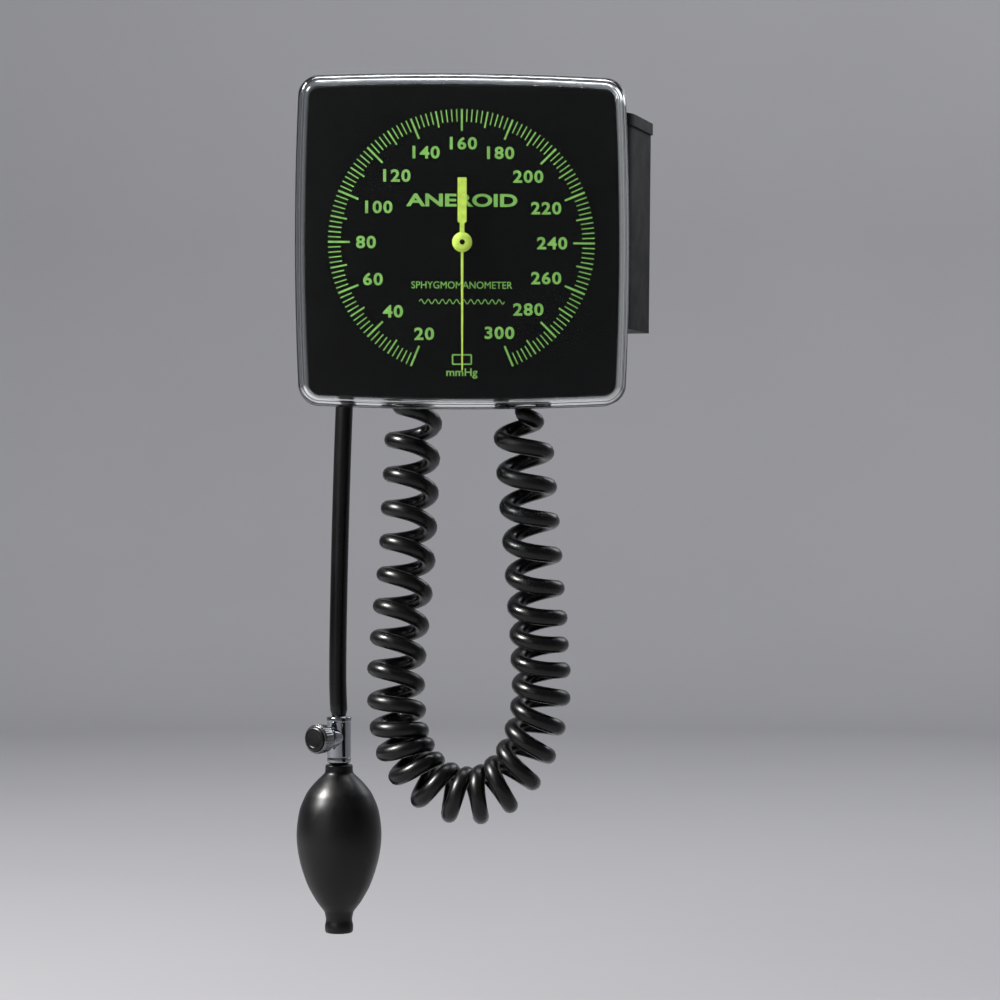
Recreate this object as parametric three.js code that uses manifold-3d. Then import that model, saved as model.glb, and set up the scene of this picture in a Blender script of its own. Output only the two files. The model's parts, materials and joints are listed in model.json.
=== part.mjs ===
// Wall-mounted aneroid blood pressure monitor with a cuff basket, a coiled hose and an inflation bulb.
// Millimetres, +Z up. The origin lies on the wall face, level with the gauge's centre.
// The instrument stands off the wall toward -Y.
import * as THREE from 'three';
import { mergeVertices } from 'three/addons/utils/BufferGeometryUtils.js';
import Module from 'manifold-3d';

const wasm = await Module();
wasm.setup();

// ---------- driving dimensions ----------
const GAP = 0.3;              // clearance between pieces that touch
const GAUGE_HALF = 80;        // half-width of the gauge at the middle of a side
const SIDE_BOW = 2;           // how far each side bows out beyond its corners
const SWIVEL_DEPTH = 75;      // wall face to the vertical swivel axis
const REST_YAW = 15.5;        // degrees the gauge is turned toward +X
const BASKET_TOP = 70;
const BASKET_FLOOR = -38;
const BASKET_DEPTH = 48;
const BASKET_REAR_HALF = 84.3;  // half-width at the wall, at the floor
const BASKET_TAPER = 5;         // how much narrower each side is at the front
const BASKET_DRAFT = 1.1;       // how much wider each side is at the rim
const BASKET_SCREWS = [[-56, 44], [56, 44], [-56, -12], [56, -12]];
const ARM_SCREW_HEIGHTS = [-16, 16];
const WALL = 2.5;             // moulded wall thickness
const KNUCKLE_RADIUS = 7;
const WALL_PLATE = 3;
const HOSE_RADIUS = 4.5;
const COIL_RADIUS = 14.5;     // outer radius of the coiled hose
const BULB_X = -74.2;         // where the valve and bulb hang
const BULB_Y = -28;
const VALVE_TOP = -236.1;
const BULB_TOP = -261;
const BULB_FOOT = -86.9;      // lower end of the bulb, from its top
const KNOB_YAW = -24;         // degrees from -Y toward -X that the valve knob points
const GAUGE_HOSE = [-34, -28];  // x, y of the cuff's gauge hose port
const BULB_HOSE = [-69, -28];   // x, y of the cuff's bulb hose port
const CUFF_BOTTOM = -31;

// Distances from the swivel axis toward the viewer, inside the gauge
const CASE_REAR = 8;
const FLANGE_REAR = 26.7;
const LENS_REAR = 30;
const DIAL_REAR = 35;
const LENS_FRONT = 50;
const CAPSULE_REAR = 15;
const REAR_PLATE = 23;
const FRONT_PLATE = 30.5;
const PLATE_THICKNESS = 1.2;
const SECTOR_REAR = 26.5;
const CAPSULE_HOSE_DEPTH = 12.75;
const POINTER_REAR = 39;

// Places in the gauge's own plane: x to the right, z up from the pointer axis
const SECTOR_PIVOT = [0, -26.7];
const CAPSULE_CENTRE = [-2.2, -29.9];
const BARB = [31, 16];        // x and distance from the swivel axis
const PLATE_SCREWS = [[28, -12], [28, 14], [-18, 14]];
const PILLARS = [[20, 10], [-14, 10], [14, -36]];
const YOKE_SCREWS = [[-15, 18], [15, 18], [-15, -18], [15, -18]];

// ---------- small geometry library ----------
function solid(geometry) {
  const bare = geometry.clone();
  bare.deleteAttribute('normal');
  bare.deleteAttribute('uv');
  const merged = mergeVertices(bare, 1e-4);
  const triVerts = new Uint32Array(merged.index.array);
  const vertProperties = new Float32Array(merged.attributes.position.array);
  if (signedVolume(vertProperties, triVerts) < 0) {
    for (let i = 0; i < triVerts.length; i += 3) {
      [triVerts[i], triVerts[i + 1]] = [triVerts[i + 1], triVerts[i]];
    }
  }
  return new wasm.Manifold(new wasm.Mesh({ numProp: 3, vertProperties, triVerts }));
}

function signedVolume(positions, indices) {
  const corner = (i) => new THREE.Vector3().fromArray(positions, 3 * indices[i]);
  let total = 0;
  for (let i = 0; i < indices.length; i += 3) {
    total += corner(i).dot(corner(i + 1).cross(corner(i + 2))) / 6;
  }
  return total;
}

function geometryOf(manifold) {
  const mesh = manifold.getMesh();
  const geometry = new THREE.BufferGeometry();
  geometry.setAttribute('position', new THREE.BufferAttribute(mesh.vertProperties, 3));
  geometry.setIndex(new THREE.BufferAttribute(mesh.triVerts, 1));
  return geometry;
}

const outward = (geometry) => geometryOf(solid(geometry));

function cut(base, ...tools) {
  return geometryOf(tools.reduce((result, tool) => result.subtract(solid(tool)), solid(base)));
}

function join(...pieces) {
  return geometryOf(pieces.slice(1).reduce((result, piece) => result.add(solid(piece)), solid(pieces[0])));
}

// Box between two corners
function block([x0, y0, z0], [x1, y1, z1]) {
  const box = new THREE.BoxGeometry(x1 - x0, y1 - y0, z1 - z0);
  return box.translate((x0 + x1) / 2, (y0 + y1) / 2, (z0 + z1) / 2);
}

// Solid of revolution about Z from [radius, z] pairs
function turned(profile, sides = 16) {
  const points = profile.map(([radius, height]) => new THREE.Vector2(radius, height));
  return outward(new THREE.LatheGeometry(points, sides).rotateX(Math.PI / 2));
}

// Upright round rod between two heights
function post(x, y, bottom, top, radius, sides = 14) {
  const rod = new THREE.CylinderGeometry(radius, radius, top - bottom, sides).rotateX(Math.PI / 2);
  return rod.translate(x, y, (bottom + top) / 2);
}

// Rod along the gauge's normal, from one distance to another
function stud([x, z], rear, front, radius, sides = 12) {
  const rod = new THREE.CylinderGeometry(radius, radius, front - rear, sides);
  return rod.translate(x, -(rear + front) / 2, z);
}

// Solid of revolution about the gauge's normal from [radius, distance] pairs
function spun([x, z], profile, sides = 16) {
  const points = profile.map(([radius, distance]) => new THREE.Vector2(radius, -distance));
  return outward(new THREE.LatheGeometry(points, sides).translate(x, 0, z));
}

// Flat outline in the gauge's plane, extruded along the normal
function plate(shape, rear, front) {
  const settings = { depth: front - rear, bevelEnabled: false, curveSegments: 6 };
  const sheet = new THREE.ExtrudeGeometry(shape, settings).rotateX(Math.PI / 2);
  return outward(sheet.translate(0, -rear, 0));
}

// Flat outline in the XY plane, extruded upward
function prism(shape, bottom, top, curveSegments = 6) {
  const settings = { depth: top - bottom, bevelEnabled: false, curveSegments };
  return outward(new THREE.ExtrudeGeometry(shape, settings).translate(0, 0, bottom));
}

function rounded(width, height, radius, [cx, cy] = [0, 0]) {
  const shape = new THREE.Shape();
  const [x, y] = [width / 2 - radius, height / 2 - radius];
  shape.absarc(cx + x, cy + y, radius, 0, Math.PI / 2);
  shape.absarc(cx - x, cy + y, radius, Math.PI / 2, Math.PI);
  shape.absarc(cx - x, cy - y, radius, Math.PI, 1.5 * Math.PI);
  shape.absarc(cx + x, cy - y, radius, 1.5 * Math.PI, 2 * Math.PI);
  return shape;
}

function circle(x, y, radius) {
  return new THREE.Path().absarc(x, y, radius, 0, 2 * Math.PI);
}

// Closed skin over rings of points that all have the same count
function loft(rings) {
  const count = rings[0].length;
  const positions = rings.flat().flatMap((point) => point.toArray());
  const indices = [];
  for (let ring = 0; ring + 1 < rings.length; ring++) {
    for (let i = 0; i < count; i++) {
      const a = ring * count + i;
      const b = ring * count + (i + 1) % count;
      indices.push(a, b, a + count, b, b + count, a + count);
    }
  }
  const last = (rings.length - 1) * count;
  for (let i = 1; i + 1 < count; i++) {
    indices.push(0, i + 1, i, last, last + i, last + i + 1);
  }
  const geometry = new THREE.BufferGeometry();
  geometry.setAttribute('position', new THREE.Float32BufferAttribute(positions, 3));
  geometry.setIndex(indices);
  return outward(geometry);
}

// Square ring with rounded corners and bowed sides, at a distance along the gauge's normal
function squareRing([distance, half, radius]) {
  const flat = half - SIDE_BOW;
  const outline = rounded(2 * flat, 2 * flat, radius).getPoints(4);
  const points = [];
  outline.forEach((start, i) => {
    const end = outline[(i + 1) % outline.length];
    const steps = start.distanceTo(end) > 20 ? 5 : 1;
    for (let step = 0; step < steps; step++) {
      points.push(start.clone().lerp(end, step / steps));
    }
  });
  const bow = (across) => 1 + (SIDE_BOW / flat) * (1 - (across / flat) ** 2);
  return points
    .filter((point, i) => point.distanceTo(points[(i + 1) % points.length]) > 1e-3)
    .map((point) => new THREE.Vector3(point.x * bow(point.y), -distance, point.y * bow(point.x)));
}

const squareSolid = (...sections) => loft(sections.map(squareRing));

// Hose along a route; 3 diameters or less between sections
function hose(route, radius, sides, steps) {
  const points = route.map((point) => new THREE.Vector3(...point));
  const curve = new THREE.CatmullRomCurve3(points, false, 'centripetal');
  const section = new THREE.Shape().absarc(0, 0, radius, 0, 2 * Math.PI);
  const sweep = { extrudePath: curve, steps, curveSegments: sides / 2, bevelEnabled: false };
  return outward(new THREE.ExtrudeGeometry(section, sweep));
}

function gear(teeth, tipRadius, depth, [cx, cy], start = 0, end = 2 * Math.PI, hub = 0) {
  const shape = new THREE.Shape();
  const pitch = (end - start) / teeth;
  const place = (radius, angle) => [cx + radius * Math.cos(angle), cy + radius * Math.sin(angle)];
  for (let tooth = 0; tooth < teeth; tooth++) {
    [[0, depth], [0.3, 0], [0.55, 0], [0.85, depth]].forEach(([share, drop], i) => {
      const point = place(tipRadius - drop, start + (tooth + share) * pitch);
      if (tooth === 0 && i === 0) shape.moveTo(...point);
      else shape.lineTo(...point);
    });
  }
  if (hub > 0) {
    shape.lineTo(...place(hub, end));
    shape.lineTo(...place(hub, start));
  }
  return shape;
}

// ---------- materials ----------
const finish = (color, roughness, metalness) => ({ color, roughness, metalness });
const BLACK_PLASTIC = finish(0x17181a, 0.5, 0);
const BLACK_RUBBER = finish(0x101113, 0.42, 0);
const DIAL_BLACK = finish(0x050605, 0.6, 0);
const CLEAR = finish(0xdfe6ea, 0.05, 0);
const CHROME = finish(0xc9ccd0, 0.12, 1);
const STEEL = finish(0xa8acb0, 0.35, 1);
const BRASS = finish(0xb99a55, 0.35, 1);
const LUMINOUS = finish(0xc8dc50, 0.5, 0);
const FABRIC = finish(0x1c2330, 0.9, 0);
const WHITE_PLASTIC = finish(0xd6d8d8, 0.45, 0);

function add(group, name, geometry, look) {
  const mesh = new THREE.Mesh(geometry, new THREE.MeshStandardMaterial(look));
  mesh.name = name;
  group.add(mesh);
  return mesh;
}

// ---------- wall plate, cuff basket and swivel arm ----------
function basketOutline(rearHalf, frontHalf, rear, front, radius) {
  const corner = new THREE.Vector2(frontHalf, -front);
  const side = new THREE.Vector2(rearHalf, -rear).sub(corner).setLength(radius).add(corner);
  const shape = new THREE.Shape().moveTo(-rearHalf, -rear);
  shape.lineTo(-side.x, side.y);
  shape.quadraticCurveTo(-corner.x, corner.y, -corner.x + radius, corner.y);
  shape.lineTo(corner.x - radius, corner.y);
  shape.quadraticCurveTo(corner.x, corner.y, side.x, side.y);
  shape.lineTo(rearHalf, -rear);
  return shape;
}

function wallPlate() {
  const outline = rounded(150, 92, 8, [0, 16]);
  BASKET_SCREWS.forEach(([x, z]) => outline.holes.push(circle(x, z, 2.2)));
  [-22, 22].forEach((x) => outline.holes.push(circle(x, 36, 2.6)));
  return plate(outline, 0, WALL_PLATE);
}

// Plan outline of the basket at a height, moved in from the outer wall by an inset
function basketRing(height, rearHalf, inset) {
  const half = rearHalf - inset;
  const rear = WALL_PLATE + GAP + Math.max(inset, 0);
  const shape = basketOutline(half, half - BASKET_TAPER, rear, BASKET_DEPTH - inset, 11 - inset);
  return shape.getPoints(5).map((point) => new THREE.Vector3(point.x, point.y, height));
}

function basket() {
  const topHalf = BASKET_REAR_HALF + BASKET_DRAFT;
  const outer = loft([basketRing(BASKET_FLOOR, BASKET_REAR_HALF, 0), basketRing(BASKET_TOP, topHalf, 0)]);
  const lip = loft([basketRing(BASKET_TOP - 6, topHalf, -1), basketRing(BASKET_TOP, topHalf, -1)]);
  const inner = loft([
    basketRing(BASKET_FLOOR + WALL, BASKET_REAR_HALF, WALL),
    basketRing(BASKET_TOP + 1, topHalf, WALL),
  ]);
  const slots = [GAUGE_HOSE, BULB_HOSE].map(([x, y]) => join(
    block([x - 6, -BASKET_DEPTH - 2, BASKET_FLOOR - 1], [x + 6, y, -14]),
    post(x, y, BASKET_FLOOR - 1, -20, 6),
  ));
  const screwHoles = BASKET_SCREWS.map((at) => stud(at, WALL_PLATE, 7, 2.2));
  const armHoles = ARM_SCREW_HEIGHTS.map((z) => stud([0, z], BASKET_DEPTH - 4, BASKET_DEPTH + 1, 2.2));
  return cut(join(outer, lip), inner, ...slots, ...screwHoles, ...armHoles);
}

function panScrew(at, rear, front, headFront, shank = 1.8, head = 3.6) {
  return join(stud(at, rear, front + 0.2, shank, 8), stud(at, front, headFront, head));
}

function swivelArm() {
  const foot = plate(rounded(30, 46, 4), BASKET_DEPTH + GAP, BASKET_DEPTH + 4);
  const tongue = block([-5.5, -SWIVEL_DEPTH, -10], [5.5, -BASKET_DEPTH - 3, 10]);
  const knuckle = post(0, -SWIVEL_DEPTH, -10, 10, KNUCKLE_RADIUS);
  const holes = ARM_SCREW_HEIGHTS.map((z) => stud([0, z], BASKET_DEPTH - 1, BASKET_DEPTH + 5, 2.2));
  return cut(join(foot, tongue, knuckle), post(0, -SWIVEL_DEPTH, -11, 11, 3.4), ...holes);
}

function buildBracket(part) {
  add(part, 'wall_plate', wallPlate(), STEEL);
  add(part, 'cuff_basket', basket(), BLACK_PLASTIC);
  BASKET_SCREWS.forEach((at, i) => {
    add(part, `basket_screw_${i + 1}`, panScrew(at, 0.5, WALL_PLATE + WALL + 2 * GAP, 8.2), STEEL);
  });
  add(part, 'swivel_arm', swivelArm(), BLACK_PLASTIC);
  ARM_SCREW_HEIGHTS.forEach((z, i) => {
    add(part, `swivel_arm_screw_${i + 1}`, panScrew([0, z], 44, BASKET_DEPTH + 4 + GAP, 54.2), STEEL);
  });
  const pin = turned([[0, -22], [3, -22], [3, 15.8], [5, 15.8], [5, 18], [4.2, 19], [0, 19]]);
  add(part, 'swivel_pin', pin.translate(0, -SWIVEL_DEPTH, 0), CHROME);
}

// ---------- gauge case ----------
function washer(bottom) {
  const [bore, edge, top] = [3.4, KNUCKLE_RADIUS, bottom + 0.8];
  return turned([[bore, bottom], [edge, bottom], [edge, top], [bore, top], [bore, bottom]]);
}

function hexNut(bottom, top, flats, bore) {
  return cut(post(0, 0, bottom, top, flats / Math.sqrt(3), 6), post(0, 0, bottom - 1, top + 1, bore));
}

function swivelYoke() {
  const back = plate(rounded(42, 50, 4), 5.2, CASE_REAR - GAP);
  const ears = [11.4, -15.4].map((bottom) => join(
    block([-8, -7, bottom], [8, 0, bottom + 4]),
    post(0, 0, bottom, bottom + 4, 8),
  ));
  const holes = YOKE_SCREWS.map((at) => stud(at, 4, 9, 2.1));
  const knuckleRoom = post(0, 0, -11.4, 11.4, KNUCKLE_RADIUS + 0.6);
  return cut(join(back, ...ears), post(0, 0, -20, 20, 3.4), knuckleRoom, ...holes);
}

function caseBack() {
  const outer = squareSolid(
    [CASE_REAR, 60, 11], [CASE_REAR + 1.5, 62, 11], [FLANGE_REAR, 74, 9],
    [FLANGE_REAR, 79.5, 9], [FLANGE_REAR + 2, 79.5, 9],
    [FLANGE_REAR + 2, 75.4, 6], [DIAL_REAR - GAP, 75.4, 6],
  );
  const inner = squareSolid([CASE_REAR + WALL, 59.2, 9], [FLANGE_REAR, 71.4, 7], [DIAL_REAR + 1, 72.6, 5]);
  const bosses = [
    ...YOKE_SCREWS.map((at) => stud(at, CASE_REAR + 1, 14, 4)),
    ...PLATE_SCREWS.map((at) => stud(at, CASE_REAR + 1, REAR_PLATE - GAP, 3.8)),
    post(BARB[0], -BARB[1], -71, -59, 7),
  ];
  const holes = [
    ...YOKE_SCREWS.map((at) => stud(at, CASE_REAR - 1, 13, 2.1)),
    ...PLATE_SCREWS.map((at) => stud(at, 16, REAR_PLATE + 1, 1.4)),
    post(BARB[0], -BARB[1], -75, -55, 4.4),
  ];
  return cut(join(cut(outer, inner), ...bosses), ...holes);
}

function lens() {
  const edge = (half, front, radius) => [0, 30, 60, 90].map((degrees) => {
    const angle = THREE.MathUtils.degToRad(degrees);
    const inset = radius * (1 - Math.cos(angle));
    return [front - radius + radius * Math.sin(angle), half - inset, Math.max(9 - inset, 3.5)];
  });
  const outer = squareSolid([LENS_REAR, GAUGE_HALF, 9], ...edge(GAUGE_HALF, LENS_FRONT, 4.5));
  const inner = squareSolid([LENS_REAR - 1, 77.4, 7], ...edge(77.4, LENS_FRONT - 2.6, 3));
  return cut(outer, inner);
}

function gasket() {
  const [rear, front] = [FLANGE_REAR + 2 + GAP, LENS_REAR - GAP];
  return cut(
    squareSolid([rear, 79.3, 9], [front, 79.3, 9]),
    squareSolid([rear - 1, 76.4, 6.5], [front + 1, 76.4, 6.5]),
  );
}

function dialPlate() {
  return cut(squareSolid([DIAL_REAR, 75.8, 6], [DIAL_REAR + 1.5, 75.8, 6]), stud([0, 0], 34, 38, 2.5));
}

function hoseBarb() {
  const profile = [
    [1.4, -57], [2.4, -57], [2.4, -62], [4.1, -62], [4.1, -71.3], [7, -71.3], [7, -74],
    [3.2, -74], [4, -76.5], [3.2, -76.5], [4, -79.5], [2.8, -80], [1.4, -80], [1.4, -57],
  ];
  return turned(profile).translate(BARB[0], -BARB[1], 0);
}

function buildCase(gauge) {
  add(gauge, 'swivel_yoke', swivelYoke(), BLACK_PLASTIC);
  add(gauge, 'swivel_washer_top', washer(10.3), WHITE_PLASTIC);
  add(gauge, 'swivel_washer_bottom', washer(-11.1), WHITE_PLASTIC);
  add(gauge, 'swivel_nut', hexNut(-20.2, -15.7, 8.4, 3.3), STEEL);
  YOKE_SCREWS.forEach((at, i) => {
    add(gauge, `yoke_screw_${i + 1}`, join(stud(at, 4.7, 12.6, 1.8, 8), stud(at, 3, 4.9, 3.6)), STEEL);
  });
  add(gauge, 'case_back', caseBack(), BLACK_PLASTIC);
  add(gauge, 'lens_gasket', gasket(), BLACK_RUBBER);
  add(gauge, 'dial_plate', dialPlate(), DIAL_BLACK);
  add(gauge, 'lens', lens(), CLEAR);
  add(gauge, 'hose_barb', hoseBarb(), BRASS);
}

// ---------- gauge movement ----------
function movementPlate(width, height, centre, rear, holes) {
  const outline = rounded(width, height, 5, centre);
  holes.forEach(([at, radius]) => outline.holes.push(circle(...at, radius)));
  return plate(outline, rear, rear + PLATE_THICKNESS);
}

function capsule() {
  const wave = (front) => {
    const surface = [];
    for (let radius = 22; radius >= 4; radius -= 3) {
      surface.push([radius, front - (Math.round(radius / 3) % 2 ? 0.9 : 0)]);
    }
    return surface;
  };
  const rear = CAPSULE_REAR;
  const front = CAPSULE_REAR + 6.5;
  const outside = [[25, rear + 2.4], [25, rear + 4.1], ...wave(front)];
  const inside = [
    [0, front - 1.6], [3, front - 1.6], [20, front - 2.4], [23.6, rear + 3.8], [23.6, rear + 2.7],
    [20, rear + 0.9], [1.2, rear + 0.9],
  ];
  return spun(CAPSULE_CENTRE, [[0, front], ...inside, [1.2, rear], [22, rear], ...outside, [0, front]], 20);
}

function capsuleBase() {
  const [x, z] = CAPSULE_CENTRE;
  const body = stud(CAPSULE_CENTRE, CASE_REAR + WALL + GAP, CAPSULE_REAR - GAP, 6.5);
  const nipple = new THREE.CylinderGeometry(1.5, 1.5, 8, 10).rotateZ(Math.PI / 2);
  return join(body, nipple.translate(x + 8.5, -CAPSULE_HOSE_DEPTH, z));
}

function capsulePost() {
  const front = CAPSULE_REAR + 6.5 + GAP;
  return spun(CAPSULE_CENTRE, [[0, front], [2.2, front], [2.2, 24.8], [0.4, 26.4], [0, 26.4]], 16);
}

function sectorGear() {
  const teeth = gear(15, 24.05, 0.7, SECTOR_PIVOT, 0.29 * Math.PI, 0.525 * Math.PI, 1.2);
  const [x, z] = SECTOR_PIVOT;
  const blade = plate(teeth, SECTOR_REAR, SECTOR_REAR + 1.5);
  const hub = stud(SECTOR_PIVOT, SECTOR_REAR, SECTOR_REAR + 1.5, 1.7);
  const tail = block([x - 0.9, -SECTOR_REAR - 1.5, z - 3.9], [x + 0.9, -SECTOR_REAR, z]);
  const follower = stud([x, z - 3.2], SECTOR_REAR - 0.9, SECTOR_REAR + 0.2, 0.7);
  const arbor = stud(SECTOR_PIVOT, REAR_PLATE + 0.2, FRONT_PLATE + 1, 0.8, 12);
  return join(blade, hub, tail, follower, arbor);
}

function pinionShaft() {
  const shaft = stud([0, 0], REAR_PLATE + 0.2, POINTER_REAR - GAP, 0.8, 12);
  const pinion = plate(gear(12, 2.35, 0.6, [0, 0]), SECTOR_REAR - 0.5, SECTOR_REAR + 1.9);
  return join(shaft, pinion, stud([0, 0], 29, 29.7, 1.6, 12));
}

function hairspring() {
  const [start, end, turns, steps] = [2.4, 8.6, 3, 60];
  const shape = new THREE.Shape();
  const edge = (share, side) => {
    const radius = start + (end - start) * share + side;
    const angle = 2 * Math.PI * turns * share;
    return [radius * Math.cos(angle), radius * Math.sin(angle)];
  };
  for (let i = 0; i <= steps; i++) {
    if (i === 0) shape.moveTo(...edge(0, 0.15));
    else shape.lineTo(...edge(i / steps, 0.15));
  }
  for (let i = steps; i >= 0; i--) {
    shape.lineTo(...edge(i / steps, -0.15));
  }
  return join(plate(shape, 28.7, 29.5), block([8.2, -30.2, -1], [9.8, -28.5, 1]));
}

// The pointer hangs straight down at zero; its tail counterweight points up
function pointer() {
  const shape = new THREE.Shape().moveTo(-0.35, -61.5);
  [[0.35, -61.5], [0.75, -5]].forEach((point) => shape.lineTo(...point));
  shape.absarc(0, 0, 5.1, -1.42, 1.39);
  const tail = [[0.9, 9.6], [2.1, 10.2], [2.1, 31], [-2.1, 31], [-2.1, 10.2], [-0.9, 9.6]];
  tail.forEach((point) => shape.lineTo(...point));
  shape.absarc(0, 0, 5.1, Math.PI - 1.39, Math.PI + 1.42);
  shape.lineTo(-0.75, -5);
  return plate(shape, POINTER_REAR, POINTER_REAR + 0.7);
}

function buildMovement(gauge) {
  const screws = PLATE_SCREWS.map((at) => [at, 1.4]);
  const pillars = PILLARS.map((at) => [at, 1.1]);
  const rearHoles = [...screws, [[0, 0], 1.1], [SECTOR_PIVOT, 1.1], [CAPSULE_CENTRE, 2.6]];
  const frontHoles = [...pillars, [[0, 0], 1.1], [SECTOR_PIVOT, 1.1]];
  add(gauge, 'movement_rear_plate', movementPlate(58, 60, [5, -10.5], REAR_PLATE, rearHoles), BRASS);
  add(gauge, 'movement_front_plate', movementPlate(42, 54, [3, -13], FRONT_PLATE, frontHoles), BRASS);
  PLATE_SCREWS.forEach((at, i) => {
    const front = REAR_PLATE + PLATE_THICKNESS + GAP;
    add(gauge, `movement_screw_${i + 1}`, panScrew(at, 17, front, front + 1.3, 1.1, 2.2), STEEL);
  });
  PILLARS.forEach((at, i) => {
    const foot = stud(at, REAR_PLATE + PLATE_THICKNESS + GAP, FRONT_PLATE - GAP, 2);
    const tip = stud(at, FRONT_PLATE - 1, FRONT_PLATE + PLATE_THICKNESS + 0.8, 0.8, 12);
    add(gauge, `movement_pillar_${i + 1}`, join(foot, tip), BRASS);
  });
  add(gauge, 'capsule_base', capsuleBase(), BRASS);
  add(gauge, 'pressure_capsule', capsule(), BRASS);
  add(gauge, 'capsule_post', capsulePost(), STEEL);
  add(gauge, 'sector_gear', sectorGear(), BRASS);
  add(gauge, 'pinion_shaft', pinionShaft(), STEEL);
  add(gauge, 'hairspring', hairspring(), STEEL);
  add(gauge, 'pointer', pointer(), LUMINOUS);
  const [x, z] = CAPSULE_CENTRE;
  const [start, end] = [-CAPSULE_HOSE_DEPTH, -BARB[1]];
  const route = [
    [x + 12.8, start, z], [17, start, z], [26, start - 1, z - 7],
    [BARB[0], end, -48], [BARB[0], end, -56.7],
  ];
  add(gauge, 'capsule_hose', hose(route, 1.9, 8, 10), BLACK_RUBBER);
}

// ---------- cuff and hoses ----------
function cuff() {
  const outline = rounded(144, 32, 12, [0, -25]);
  return prism(outline, CUFF_BOTTOM, 49);
}

function cuffPort([x, y]) {
  const top = CUFF_BOTTOM - GAP;
  const port = turned([
    [1.8, -37.8], [3.4, -37.8], [3.4, -33.5], [6, -33], [6, top], [1.8, top], [1.8, -37.8],
  ]);
  return port.translate(x, y, 0);
}

function femaleConnector() {
  return turned([[1.6, -58], [5.5, -58], [5.5, -52], [4.4, -51], [4.4, -46.3], [1.6, -46.3], [1.6, -58]]);
}

function maleConnector() {
  return turned([[1.6, -68], [4.2, -68], [4.2, -64], [6, -63], [6, -58.3], [1.6, -58.3], [1.6, -68]]);
}

// The coiled hose hangs in a U from the cuff's connector, down and back up to the gauge's barb
const BARB_END = new THREE.Vector3(BARB[0], -BARB[1], 0)
  .applyAxisAngle(new THREE.Vector3(0, 0, 1), THREE.MathUtils.degToRad(REST_YAW))
  .add(new THREE.Vector3(0, -SWIVEL_DEPTH, 0));
const COIL_ROUTE = [
  [...GAUGE_HOSE, -68.3], [...GAUGE_HOSE, -73], [-34, -31, -91], [-33.8, -38, -124], [-34.1, -47, -161.6],
  [-35.6, -56, -199.9], [-35.4, -60.5, -224.5], [-30.7, -62, -248.3], [-17.7, -61.8, -265.2],
  [0.5, -61.5, -271.8], [18.1, -61.5, -266.4], [31.1, -61.5, -250.4], [38.7, -62.5, -227.5],
  [39.4, -65.5, -202.6], [37.8, -72.5, -160.8], [36, -78.5, -123.8],
  [BARB_END.x, BARB_END.y, -88], [BARB_END.x, BARB_END.y, -80.4],
];
const BULB_ROUTE = [
  [...BULB_HOSE, -38.1], [...BULB_HOSE, -42], [-70.2, BULB_Y, -60], [-71.5, BULB_Y, -78],
  [-73.1, BULB_Y, -124], [-74.4, BULB_Y, -176], [-74.9, BULB_Y, -215], [BULB_X, BULB_Y, VALVE_TOP + GAP],
];

function buildHoses(part) {
  const [x, y] = GAUGE_HOSE;
  add(part, 'cuff', cuff(), FABRIC);
  add(part, 'cuff_port_gauge', cuffPort(GAUGE_HOSE), BLACK_RUBBER);
  add(part, 'cuff_port_bulb', cuffPort(BULB_HOSE), BLACK_RUBBER);
  add(part, 'cuff_hose', hose([[x, y, -38.1], [x, y, -42], [x, y, -46]], HOSE_RADIUS, 12, 2), BLACK_RUBBER);
  add(part, 'cuff_connector', femaleConnector().translate(x, y, 0), WHITE_PLASTIC);
  add(part, 'coil_connector', maleConnector().translate(x, y, 0), WHITE_PLASTIC);
  add(part, 'coiled_hose', hose(COIL_ROUTE, COIL_RADIUS, 12, 26), BLACK_RUBBER);
  add(part, 'bulb_hose', hose(BULB_ROUTE, HOSE_RADIUS, 12, 12), BLACK_RUBBER);
}

// ---------- release valve and inflation bulb, built about their own upright axis ----------
const KNOB_AXIS = new THREE.Vector3(0, -1, 0)
  .applyAxisAngle(new THREE.Vector3(0, 0, 1), THREE.MathUtils.degToRad(KNOB_YAW));
const KNOB_HEIGHT = VALVE_TOP - 10.5;

// Turned about the knob's axis: [radius, distance from the valve's axis] pairs
function knobTurned(profile, sides = 16) {
  const points = profile.map(([radius, distance]) => new THREE.Vector2(radius, distance));
  const body = new THREE.LatheGeometry(points, sides);
  const turn = new THREE.Quaternion().setFromUnitVectors(new THREE.Vector3(0, 1, 0), KNOB_AXIS);
  return outward(body.applyQuaternion(turn).translate(0, 0, KNOB_HEIGHT));
}

function valveBody() {
  const top = VALVE_TOP;
  const barrel = turned([
    [0, top], [6.6, top], [6.6, top - 2.6], [6.2, top - 3], [6.2, top - 23.4],
    [4.4, top - 24.4], [0, top - 24.4],
  ], 20);
  const branch = knobTurned([[0, 0], [5.4, 0], [5.4, 9.3], [0, 9.3]]);
  const airway = post(0, 0, top - 26, top + 1, 2, 16);
  const needleBore = knobTurned([[0, -1], [2.2, -1], [2.2, 10], [0, 10]]);
  return cut(join(barrel, branch), airway, needleBore);
}

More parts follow.
